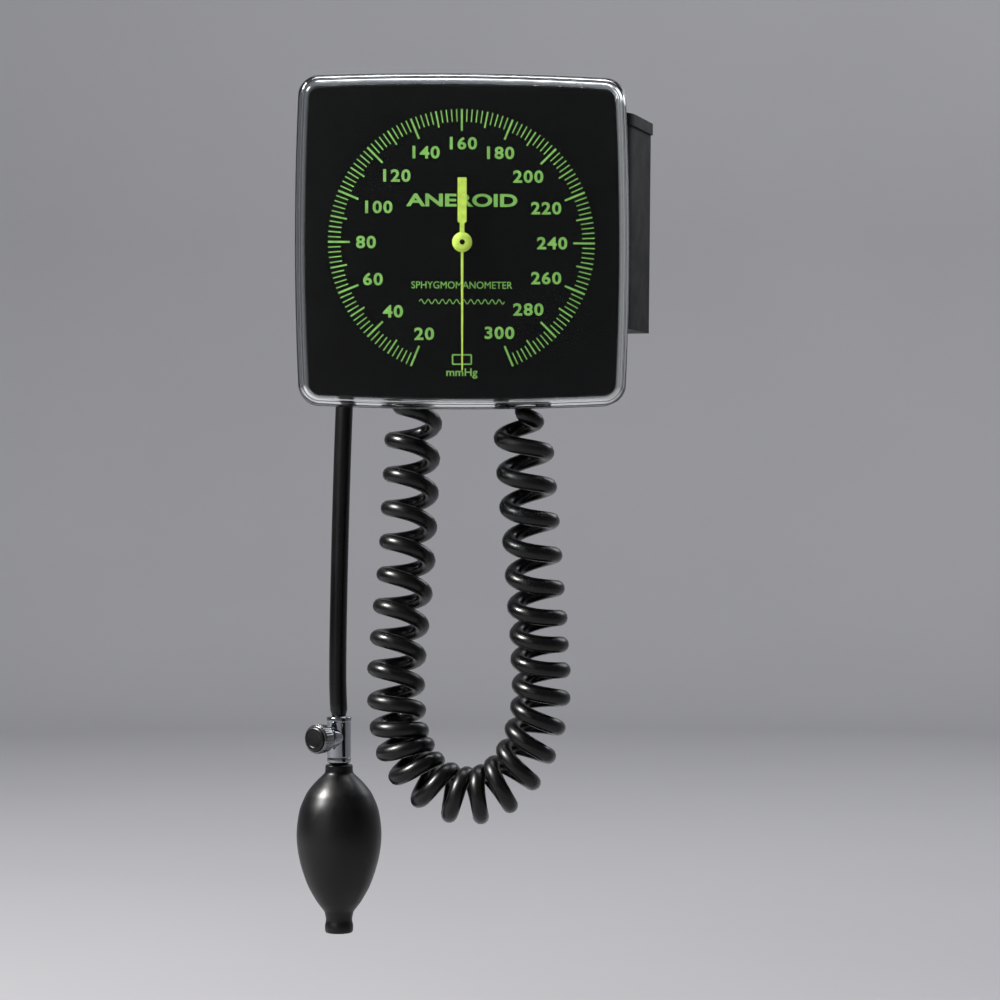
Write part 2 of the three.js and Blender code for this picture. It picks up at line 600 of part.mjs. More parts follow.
function valveKnob() {
  const grip = knobTurned([[0, 12.2], [7.6, 12.2], [7.6, 17.6], [6.9, 20], [6.2, 20.4], [0, 20.4]], 24);
  const grooves = [];
  const across = new THREE.Vector3().crossVectors(KNOB_AXIS, new THREE.Vector3(0, 0, 1));
  for (let i = 0; i < 16; i++) {
    const angle = (2 * Math.PI * i) / 16;
    const groove = new THREE.CylinderGeometry(0.6, 0.6, 6, 6);
    const turn = new THREE.Quaternion().setFromUnitVectors(new THREE.Vector3(0, 1, 0), KNOB_AXIS);
    const offset = across.clone().multiplyScalar(8 * Math.cos(angle)).addScaledVector(KNOB_AXIS, 15.2);
    offset.z += KNOB_HEIGHT + 8 * Math.sin(angle);
    grooves.push(groove.applyQuaternion(turn).translate(offset.x, offset.y, offset.z));
  }
  return cut(grip, knobTurned([[0, 11], [2.1, 11], [2.1, 16.3], [0, 16.3]]), ...grooves);
}

function bulb() {
  const outside = [
    [4.9, 0], [7, 0], [7.3, -3.8], [9.3, -5.9], [13.5, -10.1], [17.6, -16.3], [20.2, -22.5], [21.6, -29.5],
    [22, -37], [21.2, -45], [19.3, -53.4], [16.4, -61.8], [12, -70.2], [8.7, -74.6], [6.9, -77.5],
    [6.9, -81], [7.3, -82.6], [7.3, BULB_FOOT], [5.9, BULB_FOOT],
  ];
  const inside = [
    [5.9, -76.8], [6.4, -74], [11.6, -66], [17, -53.4], [19.9, -37], [17.8, -22.5], [10.2, -10.1],
    [7, -7], [4.9, -5.5], [4.9, 0],
  ];
  return turned([...outside, ...inside], 24).translate(0, 0, BULB_TOP);
}

function intakeValve() {
  const bottom = BULB_TOP + BULB_FOOT;
  const top = bottom + 9.2;
  return turned([
    [3.4, top], [5.5, top], [5.5, bottom], [1.6, bottom], [1.6, bottom + 2.5], [3.4, bottom + 4.3],
    [3.4, top],
  ]);
}

function ball(radius, height) {
  return new THREE.SphereGeometry(radius, 12, 8).rotateX(Math.PI / 2).translate(0, 0, height);
}

function buildBulb(part) {
  const handset = new THREE.Group();
  handset.position.set(BULB_X, BULB_Y, 0);
  part.add(handset);
  add(handset, 'valve_body', valveBody(), CHROME);
  const needle = [[0, 2.2], [1.8, 4.4], [1.8, 16], [0, 16]];
  const seal = [[2.4, 9.6], [4.8, 9.6], [4.8, 10.8], [2.4, 10.8], [2.4, 9.6]];
  add(handset, 'valve_needle', knobTurned(needle, 16), STEEL);
  add(handset, 'valve_seal', knobTurned(seal, 20), BLACK_RUBBER);
  add(handset, 'valve_knob', valveKnob(), CHROME);
  add(handset, 'outlet_ball', ball(1.6, VALVE_TOP - 21), STEEL);
  add(handset, 'inflation_bulb', bulb(), BLACK_RUBBER);
  add(handset, 'intake_valve', intakeValve(), CHROME);
  add(handset, 'intake_ball', ball(2.4, BULB_TOP + BULB_FOOT + 4.6), STEEL);
}

// ---------- the whole instrument ----------
const monitor = new THREE.Group();
buildBracket(monitor);
const gaugeHead = new THREE.Group();
gaugeHead.position.set(0, -SWIVEL_DEPTH, 0);
gaugeHead.rotation.z = THREE.MathUtils.degToRad(REST_YAW);
monitor.add(gaugeHead);
buildCase(gaugeHead);
buildMovement(gaugeHead);
buildHoses(monitor);
buildBulb(monitor);

export default monitor;
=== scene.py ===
"""Looks of the wall-mounted aneroid blood pressure monitor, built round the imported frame."""
import json
import math
import random

import bmesh
import bpy
from mathutils import Matrix, Vector


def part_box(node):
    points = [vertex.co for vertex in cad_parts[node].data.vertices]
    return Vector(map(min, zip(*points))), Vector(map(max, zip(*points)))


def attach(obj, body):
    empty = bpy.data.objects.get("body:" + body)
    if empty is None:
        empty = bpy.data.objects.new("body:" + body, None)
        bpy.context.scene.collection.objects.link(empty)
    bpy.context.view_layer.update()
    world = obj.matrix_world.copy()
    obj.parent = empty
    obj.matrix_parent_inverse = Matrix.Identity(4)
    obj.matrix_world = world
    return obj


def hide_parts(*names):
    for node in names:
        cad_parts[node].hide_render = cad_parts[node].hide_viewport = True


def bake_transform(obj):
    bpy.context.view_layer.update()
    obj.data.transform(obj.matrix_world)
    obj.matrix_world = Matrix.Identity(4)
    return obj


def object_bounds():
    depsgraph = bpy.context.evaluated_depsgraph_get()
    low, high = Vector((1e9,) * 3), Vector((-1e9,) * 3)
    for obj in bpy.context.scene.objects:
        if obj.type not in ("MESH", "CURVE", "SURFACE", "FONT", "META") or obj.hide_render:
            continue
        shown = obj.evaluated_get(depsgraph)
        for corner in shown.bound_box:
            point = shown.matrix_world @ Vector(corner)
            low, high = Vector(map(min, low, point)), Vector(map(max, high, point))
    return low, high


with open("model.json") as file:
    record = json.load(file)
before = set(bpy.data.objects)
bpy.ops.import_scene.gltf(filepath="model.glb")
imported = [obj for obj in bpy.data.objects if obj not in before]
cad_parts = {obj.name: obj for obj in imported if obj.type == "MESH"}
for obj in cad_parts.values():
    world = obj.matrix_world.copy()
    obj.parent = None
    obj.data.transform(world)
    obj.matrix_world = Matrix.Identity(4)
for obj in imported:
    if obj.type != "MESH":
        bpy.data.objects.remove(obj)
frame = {"nodes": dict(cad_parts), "record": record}
CAD_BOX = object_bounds()
MM = 0.001
RANDOM = random.Random(7)

# ---------- places read from the frame ----------
JOINTS = {joint["name"]: joint for joint in frame["record"]["behaviour"]["joints"]}
SWIVEL = Vector(JOINTS["gauge_swivel"]["pos_m"])
NORMAL = Vector(JOINTS["pointer_turn"]["axis"]).normalized()
KNOB_POINT = Vector(JOINTS["valve_knob_turn"]["pos_m"])
KNOB_AXIS = Vector(JOINTS["valve_knob_turn"]["axis"]).normalized()
UP = Vector((0, 0, 1))
GAUGE = Matrix.Translation(SWIVEL) @ Matrix((UP.cross(NORMAL), -NORMAL, UP)).transposed().to_4x4()


def node_centre(node):
    low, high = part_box(node)
    return (Vector(low) + Vector(high)) / 2


def top_of(node):
    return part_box(node)[1][2]


def bottom_of(node):
    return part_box(node)[0][2]


BULB_AXIS = node_centre("inflation_bulb")
VALVE_TOP = top_of("valve_body")
BULB_TOP = top_of("inflation_bulb")
CUFF_LOW, CUFF_HIGH = (Vector(corner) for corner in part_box("cuff"))
GAUGE_PORT = node_centre("cuff_port_gauge")
BULB_PORT = node_centre("cuff_port_bulb")

# Gauge sizes, in millimetres from the swivel axis along the normal, or across the face
LENS_HALF = 80.0
LENS_BOW = 2.0
LENS_REAR = 30.0
LENS_FRONT = 50.0
LENS_WALL = 2.6
DIAL_REAR = 35.0
DIAL_FRONT = 36.5
DIAL_HALF = 75.8
POINTER_REAR = 39.0
BARB_X = 31.0
BARB_DEPTH = 16.0


def added(name, data):
    """A new object in the scene."""
    made = bpy.data.objects.new(name, data)
    bpy.context.scene.collection.objects.link(made)
    return made


def gauge_point(x, depth, z):
    return GAUGE @ Vector((x * MM, -depth * MM, z * MM))


# ---------- camera ----------
CAMERA_AZIMUTH = math.radians(12.0)
CAMERA_DISTANCE = 1.25
CAMERA_LENS = 94.5
AIM_RIGHT = 0.0176
AIM_DOWN = 0.1238


def make_camera():
    data = bpy.data.cameras.new("camera")
    data.sensor_width = 36.0
    data.lens = CAMERA_LENS
    data.clip_start = 0.01
    data.clip_end = 50.0
    camera = added("camera", data)
    back = Vector((math.sin(CAMERA_AZIMUTH), -math.cos(CAMERA_AZIMUTH), 0))
    right = Vector((math.cos(CAMERA_AZIMUTH), math.sin(CAMERA_AZIMUTH), 0))
    target = gauge_point(0, LENS_FRONT, 0) + right * AIM_RIGHT - UP * AIM_DOWN
    camera.location = target + back * CAMERA_DISTANCE
    camera.rotation_mode = "QUATERNION"
    camera.rotation_quaternion = (-back).to_track_quat("-Z", "Y")
    bpy.context.scene.camera = camera


make_camera()


# ---------- materials ----------
class Paint:
    """One Principled material and short ways to add nodes to it."""

    def __init__(self, name, color, roughness, metallic=0.0, **sockets):
        self.material = bpy.data.materials.new(name)
        self.material.use_nodes = True
        self.tree = self.material.node_tree
        self.shader = self.tree.nodes["Principled BSDF"]
        self.output = self.tree.nodes["Material Output"]
        self.shader.inputs["Base Color"].default_value = (*color, 1)
        self.shader.inputs["Roughness"].default_value = roughness
        self.shader.inputs["Metallic"].default_value = metallic
        for socket, value in sockets.items():
            self.shader.inputs[socket.replace("_", " ")].default_value = value
        self.coords = self.tree.nodes.new("ShaderNodeTexCoord").outputs["Object"]

    def feed(self, socket, value):
        if isinstance(value, bpy.types.NodeSocket):
            self.tree.links.new(value, socket)
        else:
            socket.default_value = value

    def put(self, kind, **inputs):
        node = self.tree.nodes.new(kind)
        for name, value in inputs.items():
            self.feed(node.inputs[name.replace("_", " ")], value)
        return node

    def scaled(self, scale):
        return self.put("ShaderNodeMapping", Vector=self.coords, Scale=scale).outputs["Vector"]

    def noise(self, scale, detail=4.0, roughness=0.55, vector=None):
        node = self.put("ShaderNodeTexNoise", Vector=vector or self.coords, Scale=scale, Detail=detail,
                        Roughness=roughness)
        return node.outputs["Fac"]

    def cells(self, scale):
        return self.put("ShaderNodeTexVoronoi", Vector=self.coords, Scale=scale).outputs["Distance"]

    def waves(self, scale, axis, distortion=0.0):
        node = self.put("ShaderNodeTexWave", Vector=self.coords, Scale=scale, Distortion=distortion)
        node.bands_direction = axis
        return node.outputs["Fac"]

    def remap(self, value, low, high, start=0.0, end=1.0):
        node = self.put("ShaderNodeMapRange", Value=value, From_Min=start, From_Max=end,
                        To_Min=low, To_Max=high)
        return node.outputs["Result"]

    def math(self, operation, first, second):
        node = self.tree.nodes.new("ShaderNodeMath")
        node.operation = operation
        self.feed(node.inputs[0], first)
        self.feed(node.inputs[1], second)
        return node.outputs["Value"]

    def mixed(self, factor, first, second):
        node = self.tree.nodes.new("ShaderNodeMix")
        node.data_type = "RGBA"
        self.tree.links.new(factor, node.inputs["Factor"])
        for socket, color in ((node.inputs[6], first), (node.inputs[7], second)):
            self.feed(socket, color if isinstance(color, bpy.types.NodeSocket) else (*color, 1))
        return node.outputs[2]

    def wire(self, socket, value):
        self.tree.links.new(value, self.shader.inputs[socket])

    def bumped(self, height, strength, distance):
        node = self.put("ShaderNodeBump", Height=height, Strength=strength, Distance=distance)
        self.wire("Normal", node.outputs["Normal"])

    def edge_wear(self):
        pointiness = self.tree.nodes.new("ShaderNodeNewGeometry").outputs["Pointiness"]
        return self.remap(pointiness, 0.0, 1.0, 0.52, 0.6)


def shade(color, factor):
    return tuple(min(1.0, channel * factor) for channel in color)


def moulded_plastic(name, color, grain=1500.0, rough=0.46, gloss=0.38):
    """Injection-moulded shell: fine spark-eroded grain, faint flow mottling, rubbed edges."""
    paint = Paint(name, color, rough, Specular_IOR_Level=gloss)
    mottle = paint.noise(38.0, 5.0)
    tone = paint.mixed(paint.remap(mottle, 0.0, 1.0, 0.35, 0.68), shade(color, 0.72), shade(color, 1.5))
    scuffed = paint.math("MULTIPLY", paint.edge_wear(), paint.remap(paint.noise(240.0), 0.0, 1.0, 0.4, 0.7))
    paint.wire("Base Color", paint.mixed(scuffed, tone, shade(color, 3.4)))
    paint.wire("Roughness", paint.remap(paint.noise(70.0, 6.0), rough - 0.09, rough + 0.1, 0.3, 0.7))
    fine = paint.math("MULTIPLY", paint.noise(grain * 0.6, 2.0), 0.6)
    paint.bumped(paint.math("ADD", paint.cells(grain), fine), 0.32, 0.00012)
    return paint.material


def rubber(name, color, rough):
    """Dipped rubber: satin skin with cloudy bloom, hairline rubs and tiny pits."""
    paint = Paint(name, color, rough, Specular_IOR_Level=0.36)
    bloom = 0.0012
    cloud = paint.remap(paint.noise(26.0, 7.0, 0.62), 0.0, 1.0, 0.42, 0.75)
    dust = paint.math("MULTIPLY", cloud, paint.remap(paint.noise(420.0, 3.0), 0.2, 1.0, 0.35, 0.7))
    paint.wire("Base Color", paint.mixed(dust, color, tuple(channel + bloom for channel in color)))
    rubs = paint.noise(60.0, 8.0, 0.7, paint.scaled((1.0, 1.0, 0.22)))
    paint.wire("Roughness", paint.remap(rubs, rough - 0.07, rough + 0.12, 0.32, 0.68))
    pits = paint.math("ADD", paint.math("MULTIPLY", paint.noise(900.0, 3.0), 0.5), paint.noise(150.0, 3.0))
    paint.bumped(pits, 0.12, 0.00016)
    return paint.material


def metal(name, color, rough, grain=(1.0, 1.0, 1.0), scale=900.0, tarnish=0.85, wander=0.95):
    """Plated or machined metal: directional hairlines, handling smudges and dull patches."""
    paint = Paint(name, color, rough, 1.0)
    smudge = paint.remap(paint.noise(70.0, 6.0, 0.6), 0.0, 1.0, 0.4, 0.72)
    paint.wire("Base Color", paint.mixed(smudge, color, shade(color, tarnish)))
    hairline = paint.noise(scale, 3.0, 0.6, paint.scaled(grain))
    wear = paint.math("ADD", paint.math("MULTIPLY", hairline, 0.5), paint.math("MULTIPLY", smudge, 0.5))
    paint.wire("Roughness", paint.remap(wear, rough * 0.75, rough * (0.75 + wander), 0.2, 0.85))
    paint.bumped(hairline, 0.06, 0.00005)
    return paint.material


def clear_acrylic():
    """Clear acrylic with weak reflections; lamplight passes straight through it to the dial."""
    paint = Paint("clear_acrylic", (0.93, 0.955, 0.95), 0.02, Transmission_Weight=1.0, IOR=1.49,
                  Specular_Tint=(0.3, 0.3, 0.32, 1.0))
    haze = paint.noise(30.0, 6.0, 0.65)
    paint.wire("Roughness", paint.remap(haze, 0.008, 0.05, 0.4, 0.8))
    paint.bumped(paint.noise(14.0, 2.0), 0.03, 0.0004)
    tree = paint.tree
    light = tree.nodes.new("ShaderNodeLightPath")
    straight = tree.nodes.new("ShaderNodeBsdfTransparent")
    straight.inputs["Color"].default_value = (0.93, 0.95, 0.95, 1)
    mix = tree.nodes.new("ShaderNodeMixShader")
    tree.links.new(light.outputs["Is Shadow Ray"], mix.inputs["Fac"])
    tree.links.new(paint.shader.outputs["BSDF"], mix.inputs[1])
    tree.links.new(straight.outputs["BSDF"], mix.inputs[2])
    tree.links.new(mix.outputs["Shader"], paint.output.inputs["Surface"])
    return paint.material


def luminous(name, color, painted_glow):
    """Screen-printed ink, slightly uneven, with a painted glow: emission that brightens it though it is no
    lamp.
    """
    paint = Paint(name, color, 0.55, Emission_Strength=painted_glow)
    patch = paint.remap(paint.noise(320.0, 4.0), 0.0, 1.0, 0.3, 0.7)
    ink = paint.mixed(patch, shade(color, 0.82), shade(color, 1.12))
    paint.wire("Base Color", ink)
    paint.wire("Emission Color", ink)
    paint.bumped(paint.noise(1400.0, 2.0), 0.15, 0.00004)
    return paint.material


def dial_black():
    """Matt black dial paint with a faint cloudiness."""
    paint = Paint("dial_black", (0.0008, 0.0008, 0.0008), 0.75, Specular_IOR_Level=0.06)
    cloud = paint.remap(paint.noise(45.0, 4.0), 0.0, 1.0, 0.4, 0.8)
    paint.wire("Base Color", paint.mixed(cloud, (0.0006, 0.00064, 0.0006), (0.001, 0.0011, 0.001)))
    paint.wire("Roughness", paint.remap(paint.noise(90.0, 4.0), 0.68, 0.82))
    paint.bumped(paint.noise(1500.0, 2.0), 0.04, 0.00003)
    return paint.material


def woven(name, color, pitch=1500.0, fuzz=0.08):
    """Coated nylon cloth: crossed yarns with painted shade in the gaps between them, cloudy dye and a
    little sheen.
    """
    paint = Paint(name, color, 0.78, Sheen_Weight=fuzz, Sheen_Roughness=0.45)
    across = paint.waves(pitch, "X", 0.6)
    along = paint.waves(pitch, "Z", 0.6)
    weave = paint.math("MAXIMUM", across, along)
    dye = paint.noise(55.0, 5.0)
    cloth = paint.mixed(paint.remap(dye, 0.0, 1.0, 0.35, 0.7), shade(color, 0.8), shade(color, 1.5))
    # The gaps between the yarns are painted darker: painted shade.
    paint.wire("Base Color", paint.mixed(paint.remap(weave, 0.55, 0.0), cloth, shade(color, 0.45)))
    paint.wire("Roughness", paint.remap(dye, 0.68, 0.88))
    lint = paint.math("MULTIPLY", paint.noise(2200.0, 2.0), 0.4)
    paint.bumped(paint.math("ADD", weave, lint), 0.55, 0.00022)
    return paint.material


def looped_pile(name, color):
    """Loop side of hook-and-loop tape, with painted light and shade on its loops."""
    paint = Paint(name, color, 0.92, Sheen_Weight=0.12, Sheen_Roughness=0.5)
    curls = paint.cells(1300.0)
    # Painted light and shade: the loop cells run from darker to lighter patches of the same colour.
    painted_loop_light = paint.remap(curls, 0.0, 1.0, 0.1, 0.75)
    paint.wire("Base Color", paint.mixed(painted_loop_light, shade(color, 0.5), shade(color, 1.9)))
    paint.wire("Roughness", paint.remap(paint.noise(300.0), 0.85, 0.98))
    paint.bumped(paint.math("ADD", curls, paint.noise(1800.0, 3.0)), 0.8, 0.0005)
    return paint.material


def nylon(name, color, rough=0.4):
    """Moulded nylon with a faint tone and sheen drift."""
    paint = Paint(name, color, rough)
    paint.wire("Base Color", paint.mixed(paint.noise(60.0, 5.0), shade(color, 0.86), shade(color, 1.06)))
    paint.wire("Roughness", paint.remap(paint.noise(140.0), rough - 0.08, rough + 0.12))
    paint.bumped(paint.noise(800.0, 3.0), 0.12, 0.0001)
    return paint.material


def studio_paper():
    """Seamless backdrop paper with a barely visible cloudiness."""
    paint = Paint("studio_paper", (0.26, 0.26, 0.272), 0.9, Specular_IOR_Level=0.1)
    paint.wire("Base Color", paint.mixed(paint.noise(3.0, 5.0), (0.25, 0.25, 0.262), (0.27, 0.27, 0.282)))
    return paint.material


CASE_BLACK = moulded_plastic("moulded_black", (0.0022, 0.0023, 0.0026))
BASKET_BLACK = moulded_plastic("basket_black", (0.0014, 0.0015, 0.0018), 1200.0, 0.5, 0.14)
KNOB_BLACK = moulded_plastic("knob_black", (0.0012, 0.0012, 0.0014), 1500.0, 0.3)
RUBBER = rubber("hose_rubber", (0.001, 0.001, 0.0012), 0.27)
BULB_RUBBER = rubber("bulb_rubber", (0.0009, 0.001, 0.0012), 0.35)
CHROME = metal("chrome_plate", (0.34, 0.35, 0.37), 0.09, (1.0, 1.0, 9.0), 500.0)
# Darker copy of the chrome for the knob's skirt: painted shade.
SHADED_CHROME = metal("knob_chrome", (0.2, 0.205, 0.215), 0.22, (1.0, 1.0, 1.0), 900.0)
STEEL = metal("zinc_steel", (0.42, 0.43, 0.44), 0.42, (1.0, 1.0, 6.0), 700.0, 0.92, 0.4)
BRASS = metal("machined_brass", (0.55, 0.4, 0.16), 0.27, (1.0, 1.0, 1.0), 1200.0, 0.7)
ACRYLIC = clear_acrylic()
DIAL_FACE = dial_black()
# Print and pointer paint both glow a little by emission: painted light.
PRINT = luminous("luminous_print", (0.16, 0.36, 0.07), 0.2)
POINTER_PAINT = luminous("pointer_paint", (0.4, 0.54, 0.065), 0.25)
CLOTH = woven("cuff_cloth", (0.012, 0.017, 0.03))
BINDING = woven("cuff_binding", (0.005, 0.0055, 0.007), 900.0, 0.04)
PILE = looped_pile("loop_pile", (0.02, 0.024, 0.034))
WHITE = nylon("white_nylon", (0.68, 0.69, 0.68))
PAPER = studio_paper()
SLOT_LOOKS = {
    "black_plastic": CASE_BLACK, "black_rubber": RUBBER, "dial_black": DIAL_FACE, "clear_acrylic": ACRYLIC,
    "chrome": CHROME, "steel": STEEL, "brass": BRASS, "luminous_print": POINTER_PAINT,
    "cuff_fabric": CLOTH, "white_plastic": WHITE,
}
NODE_SLOTS = {row["node"]: row["material_slot"] for row in frame["record"]["subparts"]}


# ---------- mesh code ----------
def piece(name, mesh, look, body, stands_for=(), smooth=38.0, slot=None, level=False):
    """A new object from a mesh, with its finish, riding on its body if it has one.

    Level keeps big flat faces evenly lit.
    """
    mesh.materials.clear()
    mesh.materials.append(look)
    mesh.shade_smooth()
    mesh.set_sharp_from_angle(angle=math.radians(smooth))
    made = added(name, mesh)
    if body:
        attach(made, body)
    if stands_for:
        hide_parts(*stands_for)
        slot = slot or NODE_SLOTS[stands_for[0]]
    if level:
        weighted = made.modifiers.new("level_faces", "WEIGHTED_NORMAL")
        weighted.weight = 90
        weighted.keep_sharp = True
    return made


def mesh_of(name, points, faces, place=None):
    """A clean mesh with its faces turned outward."""
    mesh = bpy.data.meshes.new(name)
    mesh.from_pydata([tuple(place @ Vector(p)) if place else tuple(p) for p in points], [], faces)
    mesh.validate()
    body = bmesh.new()
    body.from_mesh(mesh)
    bmesh.ops.remove_doubles(body, verts=body.verts, dist=1e-7)
    bmesh.ops.recalc_face_normals(body, faces=body.faces)
    body.to_mesh(mesh)
    body.free()
    return mesh


def softened(points, radius, steps=3, closed=False):
    """The same outline with its corners rounded."""
    result = []
    count = len(points)
    for i, corner in enumerate(points):
        corner = Vector(corner)
        if not closed and i in (0, count - 1):
            result.append(corner)
            continue
        before = Vector(points[i - 1]) - corner
        after = Vector(points[(i + 1) % count]) - corner
        reach = min(radius, 0.45 * before.length, 0.45 * after.length)
        straight = reach < 1e-9 or abs(before.angle(after) - math.pi) < 0.06
        if straight:
            result.append(corner)
            continue
        first = corner + before.normalized() * reach
        last = corner + after.normalized() * reach
        for step in range(steps + 1):
            t = step / steps
            result.append(first * (1 - t) ** 2 + corner * 2 * t * (1 - t) + last * t ** 2)
    return [tuple(p) for p in result]


def grid_faces(rings, count, wrap_rings=False):
    """Quads between rings of points, each ring closed on itself."""
    faces = []
    for ring in range(rings if wrap_rings else rings - 1):
        low, high = ring * count, (ring + 1) % rings * count
        for i in range(count):
            j = (i + 1) % count
            faces.append((low + i, low + j, high + j, high + i))
    return faces


def lathe(name, profile, place, sides, closed=False, relief=None):
    """Solid of revolution about Z from (radius, height) pairs in millimetres, then put in place.

    A relief says how far the skin stands out at a radius, a height and an angle.
    """
    points = []
    for radius, height in profile:
        for side in range(sides):
            angle = 2 * math.pi * side / sides
            reach = radius + relief(radius, height, angle) if relief else radius
            points.append((reach * math.cos(angle) * MM, reach * math.sin(angle) * MM, height * MM))
    faces = grid_faces(len(profile), sides, closed)
    if not closed:
        faces.append(tuple(range(sides)))
        last = (len(profile) - 1) * sides
        faces.append(tuple(range(last, last + sides)))
    return mesh_of(name, points, faces, place)


def tube(name, path, radius, sides):
    """Round tube along a path of points in metres, a little narrower at its two ends."""
    points = []
    side = None
    last = len(path) - 1
    for i, centre in enumerate(path):
        along = (path[min(i + 1, last)] - path[max(i - 1, 0)]).normalized()
        side = side or along.orthogonal()
        side = (side - along * side.dot(along)).normalized()
        other = along.cross(side)
        size = radius * (0.8 if i in (0, last) else 1.0)
        for corner in range(sides):
            angle = 2 * math.pi * corner / sides
            points.append(centre + (side * math.cos(angle) + other * math.sin(angle)) * size)
    faces = grid_faces(len(path), sides)
    faces.append(tuple(range(sides)))
    faces.append(tuple(range(last * sides, last * sides + sides)))
    return mesh_of(name, points, faces)


def smooth_route(route, count):
    """Evenly spaced points along a smooth curve through the route's points."""
    route = [Vector(p) for p in route]
    dense = []
    for i in range(len(route) - 1):
        a, b = route[max(i - 1, 0)], route[i]
        c, d = route[i + 1], route[min(i + 2, len(route) - 1)]
        for step in range(16):
            t = step / 16
            dense.append(0.5 * ((2 * b) + (c - a) * t + (2 * a - 5 * b + 4 * c - d) * t * t
                                + (3 * b - a - 3 * c + d) * t ** 3))
    dense.append(route[-1])
    return resampled(dense, count)


def path_length(path):
    return sum((b - a).length for a, b in zip(path, path[1:]))


def resampled(path, count):
    total = path_length(path)
    result = [path[0]]
    walked = 0.0
    for a, b in zip(path, path[1:]):
        step = (b - a).length
        while len(result) < count - 1 and walked + step >= total * len(result) / (count - 1):
            share = (total * len(result) / (count - 1) - walked) / step
            result.append(a.lerp(b, share))
        walked += step
    result.append(path[-1])
    return result


def bowed_square(half, radius, arc=10, side=14):
    """Outline of the gauge: rounded corners and sides that bow outward, as (x, z) in millimetres."""
    flat = half - LENS_BOW
    reach = flat - radius
    centres = [Vector(corner) * reach for corner in ((1, 1), (-1, 1), (-1, -1), (1, -1))]
    points = []
    for quarter, centre in enumerate(centres):
        start = quarter * math.pi / 2
        for step in range(arc + 1):
            angle = start + step / arc * math.pi / 2
            points.append(centre + radius * Vector((math.cos(angle), math.sin(angle))))
        last = points[-1]
        end = last - centre + centres[(quarter + 1) % 4]
        points.extend(last.lerp(end, step / side) for step in range(1, side))

    def bow(across):
        return 1 + (LENS_BOW / flat) * (1 - (across / flat) ** 2)

    return [(p.x * bow(p.y), p.y * bow(p.x)) for p in points]


def square_loft(name, sections):
    """Closed skin through bowed squares given as (depth, half-width, corner radius)."""
    points = []
    for depth, half, radius in sections:
        points.extend((x * MM, -depth * MM, z * MM) for x, z in bowed_square(half, radius))
    count = len(points) // len(sections)
    faces = grid_faces(len(sections), count)
    faces.append(tuple(range(count)))
    faces.append(tuple(range((len(sections) - 1) * count, len(sections) * count)))
    return mesh_of(name, points, faces, GAUGE)


def worked_out(holder):
    """An object's finished mesh, with the object gone."""
    result = bpy.data.meshes.new_from_object(holder.evaluated_get(bpy.context.evaluated_depsgraph_get()))
    bpy.data.objects.remove(holder)
    return result


def bevelled(mesh, width, segments=2):
    """The mesh with its sharp edges rounded."""
    holder = added("holder", mesh)
    bevel = holder.modifiers.new("bevel", "BEVEL")
    bevel.width = width
    bevel.segments = segments
    bevel.limit_method = "ANGLE"
    bevel.angle_limit = math.radians(32.0)
    return worked_out(holder)


def copied(node):
    """A CAD node's mesh as a copy, with its flat faces made whole again."""
    mesh = frame["nodes"][node].data.copy()
    body = bmesh.new()
    body.from_mesh(mesh)
    bmesh.ops.remove_doubles(body, verts=body.verts, dist=2e-6)
    bmesh.ops.dissolve_limit(body, angle_limit=math.radians(1.0), verts=body.verts, edges=body.edges)
    bmesh.ops.recalc_face_normals(body, faces=body.faces)
    body.to_mesh(mesh)
    body.free()
    return mesh


def box_mesh(low, high):
    """Points and faces of a box between two corners."""
    (x0, y0, z0), (x1, y1, z1) = low, high
    points = [(x, y, z) for x in (x0, x1) for y in (y0, y1) for z in (z0, z1)]
    return points, [(0, 1, 3, 2), (4, 6, 7, 5), (0, 4, 5, 1), (2, 3, 7, 6), (0, 2, 6, 4), (1, 5, 7, 3)]


def gathered(name, parts, place):
    """One mesh from several (points, faces) parts, put in place."""
    points, faces = [], []
    for part_points, part_faces in parts:
        start = len(points)
        points.extend(part_points)
        faces.extend(tuple(start + i for i in face) for face in part_faces)
    return mesh_of(name, points, faces, place)


def ring_place(origin, axis):
    """Matrix that takes Z to an axis at an origin."""
    return Matrix.Translation(origin) @ Vector(axis).to_track_quat("Z", "Y").to_matrix().to_4x4()


def upright(centre):
    """Matrix that moves sideways to a vertical axis and leaves heights alone."""
    return Matrix.Translation((centre.x, centre.y, 0))


def turned_ring(name, profile, place, corner=0.4, sides=40):
    """Hollow turned part: a closed profile with softened corners."""
    return lathe(name, softened(profile, corner, 3, True), place, sides, True)


# ---------- hoses ----------
# The coiled hose's centre line, from the gauge's barb down, round the loop and up to the cuff's connector
BARB_TIP = gauge_point(BARB_X, BARB_DEPTH, -80.3)
COIL_ROUTE = [
    (BARB_TIP.x, BARB_TIP.y, -0.0755), (BARB_TIP.x, BARB_TIP.y, -0.0804), (BARB_TIP.x, BARB_TIP.y, -0.088),
    (0.036, -0.0785, -0.1238), (0.0378, -0.0725, -0.1608), (0.0394, -0.0655, -0.2026),
    (0.0387, -0.0625, -0.2275), (0.0311, -0.0615, -0.2504), (0.0181, -0.0615, -0.2664),
    (0.0005, -0.0615, -0.2718), (-0.0177, -0.0618, -0.2652), (-0.0307, -0.062, -0.2483),
    (-0.0354, -0.0605, -0.2245), (-0.0356, -0.056, -0.1999), (-0.0341, -0.047, -0.1616),
    (-0.0338, -0.038, -0.124), (-0.034, -0.031, -0.091), (-0.034, -0.028, -0.073), (-0.034, -0.028, -0.066),
]
COIL_PITCH = [          # distance along the route and pitch there, in millimetres: tightest round the bend
    (0, 16.8), (80, 17.2), (120, 12.8), (180, 13.4), (215, 11.4), (235, 14.1), (260, 10.0), (290, 15.0),
    (360, 17.4), (446, 18.7),
]
HOSE_RADIUS = 4.5
COIL_HOSE_RADIUS = 4.05
